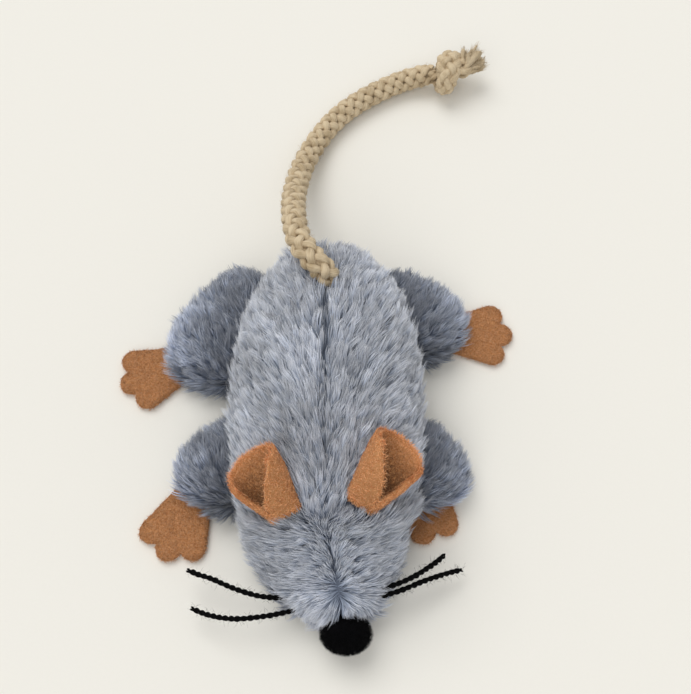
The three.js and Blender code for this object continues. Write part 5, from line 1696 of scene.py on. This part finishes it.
@dataclass
class BellyClosure:
    """The flap under the belly and the fibre fill behind it."""

    low: Point = (-11.8, 5.5, 0.3)
    high: Point = (15.6, 38.5, 1.5)
    fibres: int = 9500
    pile_share: float = 0.8

    def build(self) -> None:
        """Makes the flap and the fill."""
        self.build_flap()
        for node in ("body_stuffing", "head_stuffing"):
            self.build_fill(node)

    def build_flap(self) -> None:
        """Makes the flap's cloth with turned-in edges, and its pile pressed flat by the toy's weight."""
        low, high = np.array(self.low), np.array(self.high)
        half = (high[2] - low[2]) / 2
        edge = np.array([0, 0.05, 0.2, 0.4, 0.6])
        spans = [np.concatenate([a + edge, np.linspace(a + 1.2, b - 1.2, 30), (b - edge)[::-1]])
                 for a, b in zip(low[:2], high[:2])]
        x, y = np.meshgrid(*spans, indexing="ij")
        border = np.minimum.reduce([x - low[0], high[0] - x, y - low[1], high[1] - y])
        rise = half * np.sqrt(np.maximum(1 - (1 - np.minimum(border / half, 1)) ** 2, 0))
        layers = [np.stack([x, y, low[2] + half + way * rise], -1) for way in (1, -1)]
        patch = joined([Patch.grid(layers[0]), Patch.grid(layers[1], turned=True)])
        piece = make_piece("belly_flap_cloth", patch, FLAP_CLOTH, weld=True)
        settle(piece, "belly_flap", "plush", "belly_flap")
        rng = np.random.default_rng(SEED + 90)
        roots = np.append(rng.uniform(low[:2], high[:2], (self.fibres, 2)), np.full((self.fibres, 1), low[2]), 1)
        down, back = np.tile([0, 0, -1.0], (self.fibres, 1)), np.tile([0, 1.0, 0], (self.fibres, 1))
        pile = make_piece("belly_flap_pile", LEG_PILE.grow(roots, down, back, rng, self.pile_share), PLUSH)
        settle(pile, "belly_flap", "plush")

    def build_fill(self, node: str) -> None:
        """Makes the fibre fill, uneven under its cloth.

        Args:
            node: the frame's solid that it stands for.
        """
        mesh = frame["nodes"][node].data.copy()
        mesh.materials.clear()
        mesh.materials.append(FILL.material())
        points = np.empty(len(mesh.vertices) * 3, np.float32)
        mesh.vertices.foreach_get("co", points)
        places = points.reshape(-1, 3) / MM
        middle = places.mean(0)
        places = places - unit(places - middle) * (0.12 * (1 + ripple(places, 5, 91)))[:, None]
        mesh.vertices.foreach_set("co", (places * MM).astype(np.float32).ravel())
        piece = bpy.data.objects.new(f"{node}_fill", mesh)
        bpy.context.scene.collection.objects.link(piece)
        settle(piece, "body", "fibre_fill", node)


@dataclass
class Studio:
    """Camera, pale floor and soft light."""

    target: Point = (5.2, 34.5, 0.0)
    distance: float = 320.0
    elevation: float = 64.0
    lens: float = 55.3
    sensor: float = 36.0
    floor_reach: float = 4000.0
    world_light: float = 0.52
    world_colour: Point = (1.0, 0.995, 0.985)
    key_power: float = 1.24
    fill_power: float = 0.61
    lamp_angle: float = 44.0
    lamp_colour: Point = (1.0, 0.99, 0.97)
    # where the lamps stand and what they point at, in metres
    key_place: Point = (-0.26, 0.4, 0.84)
    fill_place: Point = (-0.2, -0.6, 0.75)
    aim: Point = (0.0, 0.03, 0.0)

    def build(self) -> None:
        """Sets the camera first, then the floor and the lights."""
        self.set_camera()
        self.set_floor()
        self.set_lights()
        bpy.context.scene.view_settings.view_transform = "Standard"

    def set_camera(self) -> None:
        """Places the camera at the photograph's angle."""
        camera = bpy.data.objects.new("camera", bpy.data.cameras.new("camera"))
        camera.data.lens = self.lens
        camera.data.sensor_width = self.sensor
        camera.data.clip_start, camera.data.clip_end = 0.01, 20.0
        rise = math.radians(self.elevation)
        back = Vector((0, -math.cos(rise), math.sin(rise)))
        camera.location = (Vector(self.target) + back * self.distance) * MM
        camera.rotation_euler = (-back).to_track_quat("-Z", "Y").to_euler()
        bpy.context.scene.collection.objects.link(camera)
        bpy.context.scene.camera = camera

    def set_floor(self) -> None:
        """Lays a plain pale floor."""
        reach = self.floor_reach
        corners = np.array([[[-reach, -reach, 0], [reach, -reach, 0]], [[-reach, reach, 0], [reach, reach, 0]]], float)
        floor = make_piece("floor", Patch.grid(corners, turned=True), PAPER)

    def set_lights(self) -> None:
        """Lights from the upper left behind and softly from the front, with an even world."""
        lamps = (("window", self.key_power, self.key_place), ("fill", self.fill_power, self.fill_place))
        for name, power, place in lamps:
            lamp = bpy.data.lights.new(name, "SUN")
            lamp.energy, lamp.angle, lamp.color = power, math.radians(self.lamp_angle), self.lamp_colour
            made = bpy.data.objects.new(name, lamp)
            made.location = place
            made.rotation_euler = (Vector(self.aim) - made.location).to_track_quat("-Z", "Y").to_euler()
            bpy.context.scene.collection.objects.link(made)
        world = bpy.data.worlds.new("studio")
        bpy.context.scene.world = world
        world.use_nodes = True
        tree = world.node_tree
        lit = tree.nodes["Background"]
        lit.inputs["Color"].default_value = (*self.world_colour, 1.0)
        lit.inputs["Strength"].default_value = self.world_light
        # eye and reflections meet the paper's colour past the floor's edge, and everything else gets the even light
        seen = add_node(tree, "ShaderNodeBackground", {}, {"Color": linear(PAPER.colour), "Strength": 1.0})
        path = add_node(tree, "ShaderNodeLightPath").outputs
        shiny = add_node(tree, "ShaderNodeMath", {"operation": "MAXIMUM"},
                         {0: path["Is Glossy Ray"], 1: path["Is Transmission Ray"]})
        either = add_node(tree, "ShaderNodeMath", {"operation": "MAXIMUM"},
                          {0: path["Is Camera Ray"], 1: shiny.outputs[0]})
        mixed = add_node(tree, "ShaderNodeMixShader", {}, {0: either.outputs[0], 1: lit.outputs[0], 2: seen.outputs[0]})
        tree.links.new(mixed.outputs[0], tree.nodes["World Output"].inputs["Surface"])


def dress_frame() -> None:
    """Gives the frame's own hard pieces their finishes."""
    for entry in frame["record"]["subparts"]:
        finish = FRAME_FINISHES.get(entry["material_slot"])
        if finish:
            node = frame["nodes"][entry["node"]]
            node.data.materials.clear()
            node.data.materials.append(finish.material())
            log.info("%s: %s", entry["node"], finish.name)


def main() -> None:
    """Builds the toy and its studio."""
    logging.basicConfig(level=logging.INFO, format="%(name)s: %(message)s")
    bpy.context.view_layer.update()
    Studio().build()
    rope = RopeTail().build()
    for whisker in WHISKERS:
        whisker.build()
    body = StuffedBody()
    ears = (
        FeltEar(Side.LEFT, apart=9.4, length=16.8, lean_out=0.575, lean_back=0.63, set_back=2.4, body=body),
        FeltEar(Side.RIGHT, apart=8.8, length=18.6, lean_out=0.59, lean_back=0.65, set_back=3.6, body=body),
    )
    legs = (
        StuffedLeg("left_rear", Side.LEFT, seam=41.992, swing=37, length=31.02, half_width=20, tip_half_width=11,
                   height=18.02, paw_along=33.04, paw_aside=4.34, paw_turn=24, seed=319, paw_seed=29, body=body),
        StuffedLeg("left_front", Side.LEFT, seam=-3.016, swing=37, length=18.48, half_width=15.04, tip_half_width=9.5,
                   height=15.98, paw_along=21.38, paw_aside=-4.44, paw_turn=68, seed=194, paw_seed=30, body=body),
        StuffedLeg("right_rear", Side.RIGHT, seam=42.978, swing=19, length=22, half_width=16, tip_half_width=10,
                   height=17, paw_along=23.41, paw_aside=2.64, paw_turn=1, seed=230, paw_seed=30, body=body),
        StuffedLeg("right_front", Side.RIGHT, seam=-3.48, swing=53, length=16.5, half_width=14.56, tip_half_width=9.5,
                   height=15.98, paw_along=11.01, paw_aside=-3.8, paw_turn=92, seed=176, paw_seed=31, body=body,
                   paw_shift=(-2.4, 0.4)),
    )
    body.build(rope, ears, [leg.paw() for leg in legs])
    for leg in legs:
        leg.build()
    for ear in ears:
        ear.build()
    VelvetNose().build()
    BellyClosure().build()
    dress_frame()


if __name__ == "__main__":
    main()
